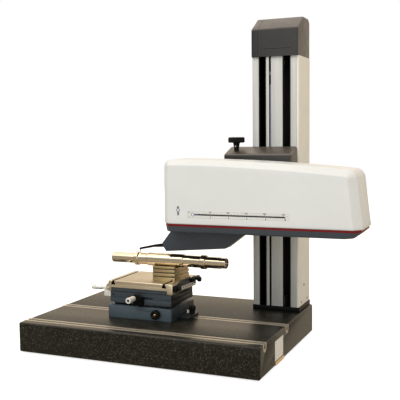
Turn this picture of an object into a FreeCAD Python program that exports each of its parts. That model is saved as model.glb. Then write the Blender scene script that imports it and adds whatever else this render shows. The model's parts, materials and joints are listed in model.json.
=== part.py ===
import FreeCAD, Part
import math
import os

V = FreeCAD.Vector
AXES = {"x": V(1, 0, 0), "y": V(0, 1, 0), "z": V(0, 0, 1)}

# The frame: X to the right along the granite plate's front edge, Y to the back, Z up.
# The origin is on the standing plane, under the middle of the plate. All sizes are millimetres.

# Granite plate and its feet
plate_width = 700.0
plate_depth = 500.0
plate_thickness = 82.0
plate_chamfer = 3.0
foot_width = 60.0
foot_depth = 40.0
foot_height = 4.0
foot_edge = 8.0
foot_inset_x = 90.0
foot_inset_y = 80.0

# T-slot rails let into the plate
rail_width = 27.0
rail_height = 22.0
rail_front_y = -210.0
rail_rear_y = -20.0
rail_fit = 0.1
slot_mouth = 10.0
slot_lip = 7.0
slot_head_width = 17.0
slot_head_height = 7.0

# Column: an extruded channel, open to the front, with a cover strip in its opening
column_x = 204.0
column_width = 131.0
column_front_y = 129.4
column_depth = 118.6
column_height = 715.0
column_wall = 10.0
column_back_wall = 12.0
column_flange_left = 19.0
column_flange_right = 18.0
column_flange_thickness = 9.0
column_edge = 1.2
foot_plate_thickness = 14.0
foot_plate_margin = 1.8
strip_offset = 41.0
strip_width = 48.5
strip_thickness = 10.0
rod_groove_offset = 8.5
rod_groove_width = 6.0
rod_groove_depth = 6.0
limit_rod_half = 1.8
limit_rod_end = 8.0
limit_stop_length = 16.0
limit_stop_set_back = 0.5
side_panel_thickness = 6.0
side_panel_edge = 1.5
top_plate_thickness = 8.0
top_plate_inset = 3.0

# Vertical guide inside the channel
guide_width = 15.0
guide_height = 15.0
guide_end_gap = 10.0
guide_waist = 1.5
guide_waist_front = 5.0
guide_waist_height = 4.0
shoe_width = 33.0
shoe_height = 24.0
shoe_length = 50.0
shoe_standoff = 4.0
shoe_fit = 0.3

# Vertical screw
z_screw_radius = 8.0
z_screw_back = 36.0
z_bearing_width = 50.0
z_bearing_depth = 44.0
z_bearing_height = 22.0
bearing_edge = 3.0
z_screw_set_in = 2.0
screw_fit = 0.08
z_coupling_radius = 12.0
z_coupling_length = 22.0
z_motor_size = 52.0
z_motor_height = 46.0
z_motor_edge = 6.0
z_motor_leg = 8.0
motor_gap = 1.0
screw_hole_gap = 2.0

# Cap on the column
cap_overhang_front = 6.5
cap_side_overhang = 1.0
cap_side_inset = 0.5
cap_front_height = 77.0
cap_height = 113.0
cap_lean = 4.0
cap_slope_back = 57.0
cap_flat_depth = 55.0
cap_back_chamfer = 11.0
cap_wall = 3.0
cap_edge = 2.4

# Connector plate at the rear of the column
connector_width = 70.0
connector_height = 44.0
connector_thickness = 3.0
connector_z = 150.0
connector_edge = 3.0
socket_width = 24.0
socket_height = 12.0
socket_length = 5.0
socket_pitch = 32.0
socket_wall = 1.5

# Height carriage

carriage_left = 136.0
carriage_right = 336.0
carriage_bottom = 381.0
carriage_top = 561.0
carriage_front_y = 72.0
carriage_shoulder = 20.0
carriage_column_gap = 1.4
carriage_wall = 3.0
carriage_corner = 10.0
carriage_inner_edge = 5.0
carriage_plate_thickness = 12.0
carriage_plate_inset = 10.0
carriage_plate_edge = 6.0
arm_width = 14.0
saddle_thickness = 12.0
saddle_margin = 15.0
saddle_low = 44.0
saddle_high = 136.0
nut_bracket_width = 40.0
nut_bracket_height = 30.0
nut_wall = 9.0
nut_edge = 6.0

# Tilt bearing between the carriage and the drive unit
tilt_x = 236.0
tilt_z = 447.0
hub_radius = 60.0
hub_gap = 0.3
hub_window_gap = 3.0
pivot_radius = 18.0
pivot_fit = 0.05
pivot_end_gap = 1.0
flange_thickness = 14.0
tilt_boss_half = 36.0
tilt_boss_edge = 8.0

# Clamp knob on the carriage
knob_x = 166.0
knob_y = 98.0
knob_head_radius = 24.5
knob_head_height = 16.0
knob_head_z = 573.0
knob_stem_radius = 9.3
knob_stem_base_radius = 6.5
knob_hole_gap = 2.0
knob_lobes = 10
knob_sides = 24
knob_lobe_depth = 2.2
spindle_radius = 5.0
spindle_length = 95.0
spindle_boss = 22.0
spindle_boss_half = 10.0

# Drive unit: outline of the cover seen from the front, then its depth
unit_left = 26.0
unit_right = 564.0
unit_front_y = -110.0
unit_back_y = 20.0
cover_bottom = 358.0
cover_top_left = 531.0
cover_top_right = 507.5
cover_left_lean = 2.0
cover_right_lean = 18.0
cover_left_radius = 20.0
cover_right_radius = 27.0
cover_front_rounding = 14.0
cover_rear_edge = 2.5
cover_inner_edge = 7.0
cover_wall = 3.0
cover_crest_shift = -10.0
cover_crown_rise = 5.25
trim_height = 6.0
trim_width = 5.0
pan_height = 16.0
pan_taper_left = 28.0
pan_taper_right = 21.0
pan_wall = 4.0
pan_rounding = 7.0
pan_slot_half_width = 17.0
pan_slot_margin = 6.0
window_left = 102.0
window_right = 383.0
window_z = 385.5
window_height = 19.0
window_thickness = 1.2
window_fit = 0.1

# Parts inside the drive unit
beam_left = 50.0
beam_right = 505.0
beam_front_y = -18.0
beam_back_y = 8.0
beam_bottom = 384.0
beam_top = 490.0
beam_web = 8.0
beam_bays = 6
traverse_rail_height = 22.0
traverse_rail_depth = 12.0
traverse_rail_z = 432.0
traverse_rail_neck = 2.5
traverse_rail_neck_depth = 4.0
glass_height = 14.0
glass_depth = 4.0
glass_z = 398.0
glass_inset = 10.0
x_screw_radius = 6.0
x_screw_y = -46.0
x_screw_z = 478.0
x_bearing_width = 12.0
x_bearing_size = 30.0
x_bearing_top = 11.0
x_screw_set_in = 1.0
x_motor_size = 38.0
x_motor_length = 20.0
x_motor_rise = 8.0
x_coupling_radius = 9.0
x_coupling_room = 16.0
x_coupling_length = 14.0
slide_left = 78.0
slide_length = 104.0
slide_front_y = -64.0
slide_bottom = 408.0
slide_top = 456.0
neck_left = 92.0
neck_length = 76.0
neck_half_width = 13.0
nut_length = 30.0
nut_half = 12.0
reader_reach = 11.0
reader_gap = 0.4
x_travel = 260.0

# Probe housing below the drive unit, and the probe

probe_y = -30.0
keel_half_width = 25.0
keel_gap = 3.0
keel_top_left = 20.0
keel_top_right = 244.0
keel_nose_x = -2.0
keel_nose_z = 291.0
keel_chin_x = 10.0
keel_chin_z = 273.0
keel_heel_x = 188.0
keel_heel_z = 289.0
keel_wall = 3.0
keel_side_chamfer = 4.0
arm_slot_half_width = 8.0
arm_slot_reach = 20.0
arm_slot_low = 276.5
arm_slot_high = 307.0
pivot_x = 150.0
pivot_z = 301.0
pivot_pin_radius = 3.0
pivot_lug = 6.0
pivot_lug_clearance = 1.0
arm_root_half_height = 7.5
arm_mid_x = -36.0
arm_mid_low = 280.6
arm_mid_high = 287.5
arm_elbow_x = -84.0
arm_elbow_low = 271.5
arm_elbow_high = 276.5
arm_half_width = 5.0
arm_tip_half_width = 2.6
arm_root_drop = 6.0
arm_root_x = 90.0
arm_taper_x = 4.0
arm_elbow_length = 3.0
stylus_radius = 1.6
stylus_point_radius = 0.4
stylus_point = 3.0
stylus_sides = 12
tip_clearance = 0.3

# Workpiece: a turned shaft lying in the V-block
shaft_z = 245.0
shaft_left = -170.0
shaft_right = 183.0
journal_radius = 14.2
collar_one_radius = 19.5
barrel_radius = 18.7
neck_radius = 16.5
collar_two_radius = 19.6
tail_radius = 15.8
tail_end_radius = 14.6
shaft_collar_x = -97.0
shaft_collar_width = 13.0
barrel_left = -55.0
barrel_right = 56.0
collar_two_left = 108.0
collar_two_right = 123.0
tail_step_x = 166.0

# Cross table

base_left = -151.0
base_width = 200.0
base_front_y = -102.0
base_depth = 150.0
base_height = 34.5
base_chamfer = 2.0
tilt_gap = 7.5
tilt_inset_x = 7.0
tilt_inset_y = 2.0
tilt_block_height = 14.0
slide_gap = 0.3
cross_height = 18.4
top_inset = 2.5
top_width = 199.5
top_depth = 160.0
top_height = 29.0
top_slot_inset = 15.0
top_slot_right_shift = 11.0
table_edge = 1.0
top_slot_mouth = 7.0
top_slot_lip = 6.0
top_slot_head = 12.0
top_slot_head_height = 6.0
dovetail_width = 70.0
dovetail_depth = 6.5
dovetail_flare = 5.0
dovetail_fit = 0.2
table_travel = 12.5

# Tilt hinge, wedge and knob of the cross table
hinge_inset = 11.0
hinge_pin_radius = 4.0
hinge_knuckle_radius = 6.0
hinge_clearance = 0.7
hinge_ear_edge = 1.2
hinge_fit = 0.05
hinge_end = 22.0
wedge_x = 2.0
wedge_width = 24.0
wedge_length = 50.0
wedge_contact_y = -46.0
wedge_lead = 8.0
wedge_bottom = 96.0
wedge_contact_z = 124.0
wedge_angle = 10.0
wedge_fit = 0.25
wedge_travel = 24.5
rib_width = 8.0
rib_root = 6.0
rib_length = 8.0
wedge_room_gap = 2.0
wedge_room_height = 5.0
tilt_knob_z = 105.0
tilt_knob_radius = 13.0
tilt_knob_length = 16.0
tilt_knob_teeth = 14
tilt_knob_tooth = 1.1
tilt_pocket_depth = 3.0
tilt_screw_radius = 4.0
tilt_insert_radius = 6.0
tilt_insert_length = 2.5
tilt_insert_set_in = 0.5
pad_left = 18.0
pad_width = 27.0
pad_depth = 76.0
pad_thickness = 2.4

# Micrometers
thimble_radius = 7.0
thimble_length = 32.0
thimble_cap = 4.5
sleeve_radius = 4.6
sleeve_fit = 0.05
spindle_pin_radius = 2.5
mic_gap = 13.0
mic_flange_radius = 13.5
mic_flange_thickness = 8.0
left_flange_thickness = 5.0
mic_standoff = 15.5
front_mic_x = -50.0
front_mic_z = 152.0
front_flange_z = 149.0
left_mic_y = -82.0
left_mic_z = 164.5
mic_foot_half_width = 12.0

# V-block, stop bar and clamp
vee_left = -33.0
vee_width = 68.0
vee_front_y = -53.0
vee_depth = 100.0
vee_step_y = -5.0
vee_step = 8.0
vee_angle = 25.0
vee_fit = 0.1
vee_top_gap = 1.6
vee_rib_depth = 3.0
vee_rib_height = 4.0
stop_thickness = 8.0
stop_height = 16.0
stop_front_y = -40.0
stop_back_y = 84.0
stop_tooth = 6.0
stop_tooth_depth = 3.0
stop_rise = 1.0
stop_lip_reach = 4.0
stop_lip_height = 4.0
stop_post_reach = 14.0
stop_post_height = 20.0
stop_knob_shifts = (-4.0, 16.0)
stop_knob_radius = 9.0
stop_knob_length = 15.0
clamp_x = 74.0
clamp_width = 36.0
clamp_front_y = -62.0
clamp_back_y = 2.0
clamp_thickness = 10.0
clamp_edge = 4.0
t_nut_half = 8.0
t_nut_fit = 0.7
clamp_stud_radius = 4.0
clamp_stud_rise = 19.0
clamp_knob_radius = 9.0
clamp_knob_height = 13.0
clamp_knob_lift = 8.0
clamp_collar_radius = 7.0
clamp_collar_sides = 6
clamp_knob_teeth = 12
clamp_knob_tooth = 0.8
clamp_pin_radius = 3.5
clamp_pin_height = 18.0
clamp_pin_x = 60.0

# Values that follow from the sizes above
plate_bottom = foot_height
plate_top = plate_bottom + plate_thickness
half_plate_x = plate_width / 2
half_plate_y = plate_depth / 2

column_right = column_x + column_width
column_back_y = column_front_y + column_depth
column_bottom = plate_top + foot_plate_thickness
column_top = column_bottom + column_height
channel_left = column_x + column_wall
channel_right = column_right - column_wall
channel_back_y = column_back_y - column_back_wall
strip_left = column_x + strip_offset
strip_right = strip_left + strip_width
strip_back_y = column_front_y + strip_thickness
groove_left = strip_left + rod_groove_offset
left_gap_x = (column_x + column_flange_left + strip_left) / 2
right_gap_x = (strip_right + column_right - column_flange_right) / 2
guide_front_y = channel_back_y - guide_height
saddle_back_y = guide_front_y + guide_height - shoe_standoff - shoe_height
saddle_front_y = saddle_back_y - saddle_thickness
z_screw_x = (strip_left + strip_right) / 2
z_screw_y = column_front_y + z_screw_back
top_plate_top = column_top + top_plate_thickness
coupling_bottom = top_plate_top + motor_gap
motor_bottom = coupling_bottom + z_coupling_length + motor_gap

carriage_back_y = column_front_y - carriage_column_gap
carrier_front_y = carriage_back_y - carriage_plate_thickness
saddle_bottom = carriage_bottom + saddle_low
saddle_top = carriage_bottom + saddle_high
nut_z = (saddle_bottom + saddle_top) / 2

flange_front_y = unit_back_y
flange_back_y = flange_front_y + flange_thickness
hub_front_y = flange_back_y + hub_gap

pan_top = cover_bottom - trim_height
pan_bottom = pan_top - pan_height
neck_right = neck_left + neck_length
rail_face_y = beam_front_y - traverse_rail_depth
keel_top = pan_bottom - keel_gap

tallest_radius = max(collar_one_radius, collar_two_radius, barrel_radius)
tip_z = shaft_z + tallest_radius + tip_clearance
tip_x = arm_elbow_x + stylus_radius

base_right = base_left + base_width
base_back_y = base_front_y + base_depth
base_top = plate_top + base_height
tilt_left = base_left + tilt_inset_x
tilt_right = base_right - tilt_inset_x + 4
tilt_front_y = base_front_y + tilt_inset_y
tilt_back_y = base_back_y - tilt_inset_y
tilt_bottom = base_top + tilt_gap
tilt_top = tilt_bottom + tilt_block_height
cross_bottom = tilt_top + slide_gap
cross_top = cross_bottom + cross_height
table_left = base_left + top_inset
table_right = table_left + top_width
table_back_y = base_front_y + top_depth
table_bottom = cross_top + slide_gap
table_surface = table_bottom + top_height
table_mid_x = (tilt_left + tilt_right) / 2
table_mid_y = (tilt_front_y + tilt_back_y) / 2
hinge_x = base_left + hinge_inset
hinge_z = base_top + tilt_gap / 2
clamp_y = rail_rear_y


def block(x0, x1, y0, y1, z0, z1):
    """A box between two corners."""
    return Part.makeBox(x1 - x0, y1 - y0, z1 - z0, V(x0, y0, z0))


def rod(axis, radius, start, length):
    """A cylinder that starts at a point and runs along a positive axis."""
    return Part.makeCylinder(radius, length, V(*start), AXES[axis])


def taper(sides, radius_1, radius_2, start, height):
    """An upright form with flat sides that narrows or widens from its start."""
    x, y, z = start
    rings = []
    for radius, level in ((radius_1, z), (radius_2, z + height)):
        corners = [V(x + radius * math.cos(2 * math.pi * k / sides),
                     y + radius * math.sin(2 * math.pi * k / sides), level) for k in range(sides)]
        rings.append(Part.makePolygon(corners + corners[:1]))
    return Part.makeLoft(rings, True, True)


def prism(points, axis, start, end):
    """A polygon drawn in the plane across an axis, pulled along that axis."""
    place = {
        "x": lambda a, b: V(start, a, b),
        "y": lambda a, b: V(a, start, b),
        "z": lambda a, b: V(a, b, start),
    }[axis]
    corners = [place(a, b) for a, b in points]
    face = Part.Face(Part.makePolygon(corners + corners[:1]))
    return face.extrude(AXES[axis] * (end - start))


def fuse(first, *others):
    """One solid from pieces that touch."""
    return first.fuse(list(others)).removeSplitter()


def cut(body, *tools):
    """A body with tools taken away."""
    return body.cut(list(tools))


def rounded(shape, radius, pick):
    """Fillet the edges that a test on the edge's box picks."""
    edges = [edge for edge in shape.Edges if pick(edge.BoundBox)]
    return shape.makeFillet(radius, edges) if edges else shape


def chamfered(shape, size, pick):
    """Chamfer the edges that a test on the edge's box picks."""
    edges = [edge for edge in shape.Edges if pick(edge.BoundBox)]
    return shape.makeChamfer(size, edges) if edges else shape


def upright(box):
    """True for an edge that runs straight up."""
    return box.XLength < 0.01 and box.YLength < 0.01


def at_height(z):
    """A test for edges that lie flat at one height."""
    return lambda box: box.ZLength < 0.01 and abs(box.ZMin - z) < 0.01


def export(name, shape):
    """Write one sub-part."""
    shape.exportStep("parts/" + name + ".step")


# Stand

def rail_section(rail_y, margin):
    """The round-bottomed bar that a T-slot rail is made from, or its groove with a margin."""
    radius = rail_width / 2 + margin
    centre_z = plate_top - rail_height + rail_width / 2
    bar = rod("x", radius, (-half_plate_x, rail_y, centre_z), plate_width)
    above = block(-half_plate_x, half_plate_x, rail_y - radius, rail_y + radius, centre_z,
                  centre_z + radius)
    upper = block(-half_plate_x, half_plate_x, rail_y - radius, rail_y + radius, centre_z, plate_top)
    return fuse(cut(bar, above), upper)


def granite_plate():
    plate = block(-half_plate_x, half_plate_x, -half_plate_y, half_plate_y, plate_bottom, plate_top)
    plate = plate.makeChamfer(plate_chamfer, plate.Edges)
    grooves = [rail_section(y, rail_fit) for y in (rail_front_y, rail_rear_y)]
    return cut(plate, *grooves)


def rubber_feet():
    """Four pads under the plate's corners."""
    pads = []
    for x in (-half_plate_x + foot_inset_x, half_plate_x - foot_inset_x):
        for y in (-half_plate_y + foot_inset_y, half_plate_y - foot_inset_y):
            pad = block(x - foot_width / 2, x + foot_width / 2, y - foot_depth / 2, y + foot_depth / 2,
                        0, foot_height)
            pads.append(chamfered(pad, foot_edge, upright))
    return Part.makeCompound(pads)


def t_rail(rail_y):
    mouth = block(-half_plate_x, half_plate_x, rail_y - slot_mouth / 2, rail_y + slot_mouth / 2,
                  plate_top - slot_lip, plate_top)
    head_top = plate_top - slot_lip
    head = block(-half_plate_x, half_plate_x, rail_y - slot_head_width / 2, rail_y + slot_head_width / 2,
                 head_top - slot_head_height, head_top)
    return cut(rail_section(rail_y, 0), mouth, head)


def column_foot():
    margin = foot_plate_margin
    right = column_right + side_panel_thickness + margin
    plate = block(column_x - margin, right, column_front_y - margin, column_back_y + margin / 2,
                  plate_top, column_bottom)
    return chamfered(plate, margin, upright)


def column_profile():
    """A deep channel, open to the front between two flanges."""
    outer = block(column_x, column_right, column_front_y, column_back_y, column_bottom, column_top)
    outer = chamfered(outer, column_edge, upright)
    inner = block(channel_left, channel_right, column_front_y + column_flange_thickness, channel_back_y,
                  column_bottom, column_top)
    mouth = block(column_x + column_flange_left, column_right - column_flange_right,
                  column_front_y, channel_back_y, column_bottom, column_top)
    return cut(outer, inner, mouth)


def column_cover_strip():
    strip = block(strip_left, strip_right, column_front_y, strip_back_y, column_bottom, column_top)
    groove = block(groove_left, groove_left + rod_groove_width, column_front_y,
                   column_front_y + rod_groove_depth, column_bottom, column_top)
    return cut(strip, groove)


def limit_rod():
    """The square rod in the cover strip's groove, with a stop at each end."""
    x = groove_left + rod_groove_width / 2
    groove_back_y = column_front_y + rod_groove_depth
    low = column_bottom + limit_rod_end
    high = column_top - limit_rod_end
    bar = block(x - limit_rod_half, x + limit_rod_half, groove_back_y - 2 * limit_rod_half, groove_back_y,
                low, high)
    stops = [block(groove_left, groove_left + rod_groove_width, column_front_y + limit_stop_set_back,
                   groove_back_y, z, z + limit_stop_length)
             for z in (low, high - limit_stop_length)]
    return fuse(bar, *stops)


def column_side_panel():
    panel = block(column_right, column_right + side_panel_thickness, column_front_y, column_back_y,
                  column_bottom, column_top)
    return chamfered(panel, side_panel_edge, lambda b: upright(b) and b.XMin > column_right + 1)


def column_top_plate():
    plate = block(column_x + top_plate_inset, column_right - top_plate_inset,
                  column_front_y + top_plate_inset, column_back_y - top_plate_inset,
                  column_top, top_plate_top)
    half = z_screw_radius + screw_hole_gap
    hole = block(z_screw_x - half, z_screw_x + half, z_screw_y - half, z_screw_y + half,
                 column_top, top_plate_top)
    return cut(plate, hole)


def vertical_guides():
    """Two rails on the channel's back wall, with a waist on each flank."""
    rails = []
    waist_front = guide_front_y + guide_waist_front
    waist_back = waist_front + guide_waist_height
    for x in (left_gap_x, right_gap_x):
        rail = block(x - guide_width / 2, x + guide_width / 2, guide_front_y, channel_back_y,
                     column_bottom + guide_end_gap, column_top - guide_end_gap)
        inner = guide_width / 2 - guide_waist
        outer = guide_width / 2
        left = block(x - outer, x - inner, waist_front, waist_back, column_bottom, column_top)
        right = block(x + inner, x + outer, waist_front, waist_back, column_bottom, column_top)
        rails.append(cut(rail, left, right))
    return Part.makeCompound(rails)


def height_screw_bearings():
    """Two pillow blocks, the lower one on the foot and the upper one under the top plate."""
    blocks = []
    for z in (column_bottom, column_top - z_bearing_height):
        pillow = block(z_screw_x - z_bearing_width / 2, z_screw_x + z_bearing_width / 2,
                       z_screw_y - z_bearing_depth / 2, z_screw_y + z_bearing_depth / 2,
                       z, z + z_bearing_height)
        pillow = chamfered(pillow, bearing_edge, upright)
        bore = rod("z", z_screw_radius + screw_fit, (z_screw_x, z_screw_y, z), z_bearing_height)
        blocks.append(cut(pillow, bore))
    return Part.makeCompound(blocks)


def height_screw():
    bottom = column_bottom + z_screw_set_in
    shaft = rod("z", z_screw_radius, (z_screw_x, z_screw_y, bottom), coupling_bottom - bottom)
    coupling = rod("z", z_coupling_radius, (z_screw_x, z_screw_y, coupling_bottom), z_coupling_length)
    return fuse(shaft, coupling)


def height_motor():
    """The motor stands on four posts above the coupling."""
    half = z_motor_size / 2
    body = block(z_screw_x - half, z_screw_x + half, z_screw_y - half, z_screw_y + half,
                 motor_bottom, motor_bottom + z_motor_height)
    body = chamfered(body, z_motor_edge, upright)
    legs = []
    inner = half - z_motor_edge - z_motor_leg / 2
    outer = inner + z_motor_leg
    for x0, x1 in ((-outer, -inner), (inner, outer)):
        for y0, y1 in ((-outer, -inner), (inner, outer)):
            legs.append(block(z_screw_x + x0, z_screw_x + x1, z_screw_y + y0, z_screw_y + y1,
                              top_plate_top, motor_bottom))
    return fuse(body, *legs)


def cap_form(inset):
    """The cap's side outline, pulled across the column. An inset gives the hollow inside."""
    left = column_x - cap_side_overhang + inset
    right = column_right + side_panel_thickness - cap_side_inset - inset
    front = column_front_y - cap_overhang_front + inset
    shoulder_y = front + cap_slope_back
    flat_end_y = shoulder_y + cap_flat_depth - inset
    back = column_back_y - inset
    bottom = column_top
    top = column_top + cap_height - inset
    outline = [
        (front + cap_lean, bottom),
        (front, bottom + cap_front_height - inset),
        (shoulder_y, top),
        (flat_end_y, top),
        (back, top - cap_back_chamfer),
        (back, bottom),
    ]
    return prism(outline, "x", left, right)


def column_cap():
    def side_edge(box):
        return box.XLength < 0.01 and box.ZMax > column_top + 0.1

    shell = chamfered(cap_form(0), cap_edge, side_edge)
    return cut(shell, cap_form(cap_wall))


def connector_plate():
    """Two sockets on a plate at the column's foot, for the cables to the control unit."""
    mid = (column_x + column_right) / 2
    face_y = column_back_y + connector_thickness
    plate = block(mid - connector_width / 2, mid + connector_width / 2, column_back_y, face_y,
                  connector_z, connector_z + connector_height)
    plate = chamfered(plate, connector_edge, lambda b: b.XLength < 0.01 and b.ZLength < 0.01)
    z = connector_z + connector_height / 2
    for x in (mid - socket_pitch / 2, mid + socket_pitch / 2):
        socket = block(x - socket_width / 2, x + socket_width / 2, face_y, face_y + socket_length,
                       z - socket_height / 2, z + socket_height / 2)
        hollow = block(x - socket_width / 2 + socket_wall, x + socket_width / 2 - socket_wall, face_y,
                       face_y + socket_length, z - socket_height / 2 + socket_wall,
                       z + socket_height / 2 - socket_wall)
        plate = fuse(plate, cut(socket, hollow))
    return plate


# Height carriage

def carriage_form(inset):
    """The cover's side outline with a sloped shoulder, pulled across the column."""
    front = carriage_front_y + inset
    top_front = carriage_top - carriage_shoulder - inset
    outline = [
        (front, carriage_bottom + inset),
        (front, top_front),
        (carriage_back_y, carriage_top - inset),
        (carriage_back_y, carriage_bottom + inset),
    ]
    return prism(outline, "x", carriage_left + inset, carriage_right - inset)


def carriage_cover():
    """A shell open to the column, with round front corners."""
    def front_corner(box):
        return upright(box) and box.YMax < carriage_front_y + carriage_wall + 1

    outer = rounded(carriage_form(0), carriage_corner, front_corner)
    hollow = chamfered(carriage_form(carriage_wall), carriage_inner_edge, front_corner)
    window = rod("y", hub_radius + hub_window_gap, (tilt_x, carriage_front_y, tilt_z), carriage_wall)
    stem_hole = rod("z", knob_stem_base_radius + knob_hole_gap, (knob_x, knob_y, tilt_z),
                    carriage_top - tilt_z)
    return cut(outer, hollow, window, stem_hole)


def carrier_plate():
    inset = carriage_plate_inset
    plate = block(carriage_left + inset, carriage_right - inset, carrier_front_y, carriage_back_y,
                  carriage_bottom + inset, carriage_top - inset - carriage_shoulder)
    return chamfered(plate, carriage_plate_edge, lambda b: b.XLength < 0.01 and b.ZLength < 0.01)


def saddle():
    plate = block(left_gap_x - saddle_margin, right_gap_x + saddle_margin, saddle_front_y, saddle_back_y,
                  saddle_bottom, saddle_top)
    arms = [block(x - arm_width / 2, x + arm_width / 2, carriage_back_y, saddle_front_y,
                  saddle_bottom, saddle_top) for x in (left_gap_x, right_gap_x)]
    return fuse(plate, *arms)


def guide_shoes():
    shoes = []
    shoe_back_y = saddle_back_y + shoe_height
    for x in (left_gap_x, right_gap_x):
        for z in (saddle_bottom - shoe_length / 2, saddle_top - shoe_length / 2):
            shoe = block(x - shoe_width / 2, x + shoe_width / 2, saddle_back_y, shoe_back_y,
                         z, z + shoe_length)
            half = guide_width / 2 + shoe_fit
            groove = block(x - half, x + half, guide_front_y - shoe_fit, shoe_back_y, z, z + shoe_length)
            shoes.append(cut(shoe, groove))
    return Part.makeCompound(shoes)


def height_nut():
    half = nut_bracket_width / 2
    low = nut_z - nut_bracket_height / 2
    front = z_screw_y - z_screw_radius - nut_wall
    body = block(z_screw_x - half, z_screw_x + half, front, saddle_front_y, low, low + nut_bracket_height)
    body = chamfered(body, nut_edge, lambda b: upright(b) and b.YMax < front + 1)
    bore = rod("z", z_screw_radius + screw_fit, (z_screw_x, z_screw_y, low), nut_bracket_height)
    return cut(body, bore)


def tilt_hub():
    """The round bearing on the carrier plate, with a boss for the clamp spindle at its left."""
    length = carrier_front_y - hub_front_y
    ring = rod("y", hub_radius, (tilt_x, hub_front_y, tilt_z), length)
    bore = rod("y", pivot_radius + pivot_fit, (tilt_x, hub_front_y, tilt_z), length)
    boss = block(knob_x - spindle_boss_half, tilt_x, knob_y - spindle_boss_half, carrier_front_y,
                 tilt_z - spindle_boss, tilt_z + spindle_boss)
    spindle_hole = rod("z", spindle_radius + screw_fit, (knob_x, knob_y, tilt_z - spindle_boss),
                       2 * spindle_boss)
    return cut(fuse(ring, boss), bore, spindle_hole)


def lobed_outline(x, y, radius, depth, count):
    """A polygon with flat lobes and V-shaped notches, drawn round a centre."""
    points = []
    for k in range(count):
        for part, reach in ((0.0, radius), (0.62, radius), (0.81, radius - depth)):
            angle = 2 * math.pi * (k + part) / count
            points.append((x + reach * math.cos(angle), y + reach * math.sin(angle)))
    return points


def clamp_knob():
    """A lobed head on a tapered stem that goes down into the carriage."""
    stem_z = carriage_top - carriage_shoulder - carriage_wall
    stem = taper(knob_sides, knob_stem_base_radius, knob_stem_radius, (knob_x, knob_y, stem_z),
                 knob_head_z - stem_z)
    outline = lobed_outline(knob_x, knob_y, knob_head_radius, knob_lobe_depth, knob_lobes)
    head = prism(outline, "z", knob_head_z, knob_head_z + knob_head_height)
    return fuse(stem, head)


def clamp_spindle():
    top = carriage_top - carriage_shoulder - carriage_wall
    return rod("z", spindle_radius, (knob_x, knob_y, top - spindle_length), spindle_length)


# Drive unit

def unit_outline(inset, bottom):
    """The drive unit's front outline: leaning ends, a gently arched top and round shoulders."""
    left_low = V(unit_left + inset, 0, bottom)
    left_high = V(unit_left + cover_left_lean + inset, 0, cover_top_left - cover_left_radius)
    top_start = V(unit_left + cover_left_lean + cover_left_radius, 0, cover_top_left - inset)
    crest_z = (cover_top_left + cover_top_right) / 2 + cover_crown_rise - inset
    crest = V((unit_left + unit_right) / 2 + cover_crest_shift, 0, crest_z)
    top_end = V(unit_right - cover_right_lean - cover_right_radius, 0, cover_top_right - inset)
    right_high = V(unit_right - cover_right_lean - inset, 0, cover_top_right - cover_right_radius)
    right_low = V(unit_right - inset, 0, bottom)
    bend = math.sqrt(0.5)
    left_radius = cover_left_radius - inset
    left_mid = left_high + V(left_radius * (1 - bend), 0, left_radius * bend)
    right_radius = cover_right_radius - inset
    right_mid = right_high + V(-right_radius * (1 - bend), 0, right_radius * bend)
    edges = [
        Part.LineSegment(left_low, left_high),
        Part.Arc(left_high, left_mid, top_start),
        Part.Arc(top_start, crest, top_end),
        Part.Arc(top_end, right_mid, right_high),
        Part.LineSegment(right_high, right_low),
        Part.LineSegment(right_low, left_low),
    ]
    return Part.Wire([edge.toShape() for edge in edges])


def unit_form(inset, bottom):
    """The drive unit's outline above a height, pulled to its full depth."""
    face = Part.Face(unit_outline(inset, bottom))
    face.translate(V(0, unit_front_y + inset, 0))
    return face.extrude(V(0, unit_back_y - unit_front_y - 2 * inset, 0))


def edge_on_face(y, bottom):
    """A test for the edges of one end face, apart from its bottom edge."""
    return lambda box: box.YLength < 0.01 and abs(box.YMin - y) < 0.01 and box.ZMax > bottom + 1


def unit_solid(bottom):
    """The closed form of the drive unit: a round front rim and a small bevel behind."""
    form = unit_form(0, bottom)
    form = rounded(form, cover_front_rounding, edge_on_face(unit_front_y, bottom))
    return chamfered(form, cover_rear_edge, edge_on_face(unit_back_y, bottom))


def drive_cover():
    low = cover_bottom - 1
    hollow = chamfered(unit_form(cover_wall, low), cover_inner_edge,
                       edge_on_face(unit_front_y + cover_wall, low))
    reach = tilt_boss_half + hub_window_gap
    opening = block(tilt_x - reach, tilt_x + reach, unit_back_y - cover_wall, unit_back_y,
                    tilt_z - reach, tilt_z + reach)
    recess = block(window_left - window_fit, window_right + window_fit, unit_front_y,
                   unit_front_y + window_thickness, window_z - window_height / 2 - window_fit,
                   window_z + window_height / 2 + window_fit)
    return cut(unit_solid(cover_bottom), hollow, opening, recess)


def scale_window():
    return block(window_left, window_right, unit_front_y, unit_front_y + window_thickness,
                 window_z - window_height / 2, window_z + window_height / 2)


def trim_frame():
    """The coloured band between the cover and the pan."""
    band = block(unit_left, unit_right, unit_front_y, unit_back_y, pan_top, cover_bottom)
    return cut(band.common(unit_solid(pan_top)), unit_form(trim_width, pan_top - 1))


def pan_form(inset):
    """The tray under the drive unit, with ends that sweep up in arcs."""
    left = unit_left + inset
    right = unit_right - inset
    bottom = pan_bottom + inset
    bend = math.sqrt(0.5)

    def sweep(x, run):
        corner_x = x + run
        mid = V(corner_x - run * bend, 0, pan_top - (pan_top - bottom) * bend)
        return mid, V(corner_x, 0, bottom)

    left_mid, left_low = sweep(left, pan_taper_left)
    right_mid, right_low = sweep(right, -pan_taper_right)
    start = V(left, 0, pan_top)
    end = V(right, 0, pan_top)
    edges = [
        Part.Arc(start, left_mid, left_low),
        Part.LineSegment(left_low, right_low),
        Part.Arc(right_low, right_mid, end),
        Part.LineSegment(end, start),
    ]
    face = Part.Face(Part.Wire([edge.toShape() for edge in edges]))
    face.translate(V(0, unit_front_y + inset, 0))
    return face.extrude(V(0, unit_back_y - unit_front_y - 2 * inset, 0))


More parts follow.
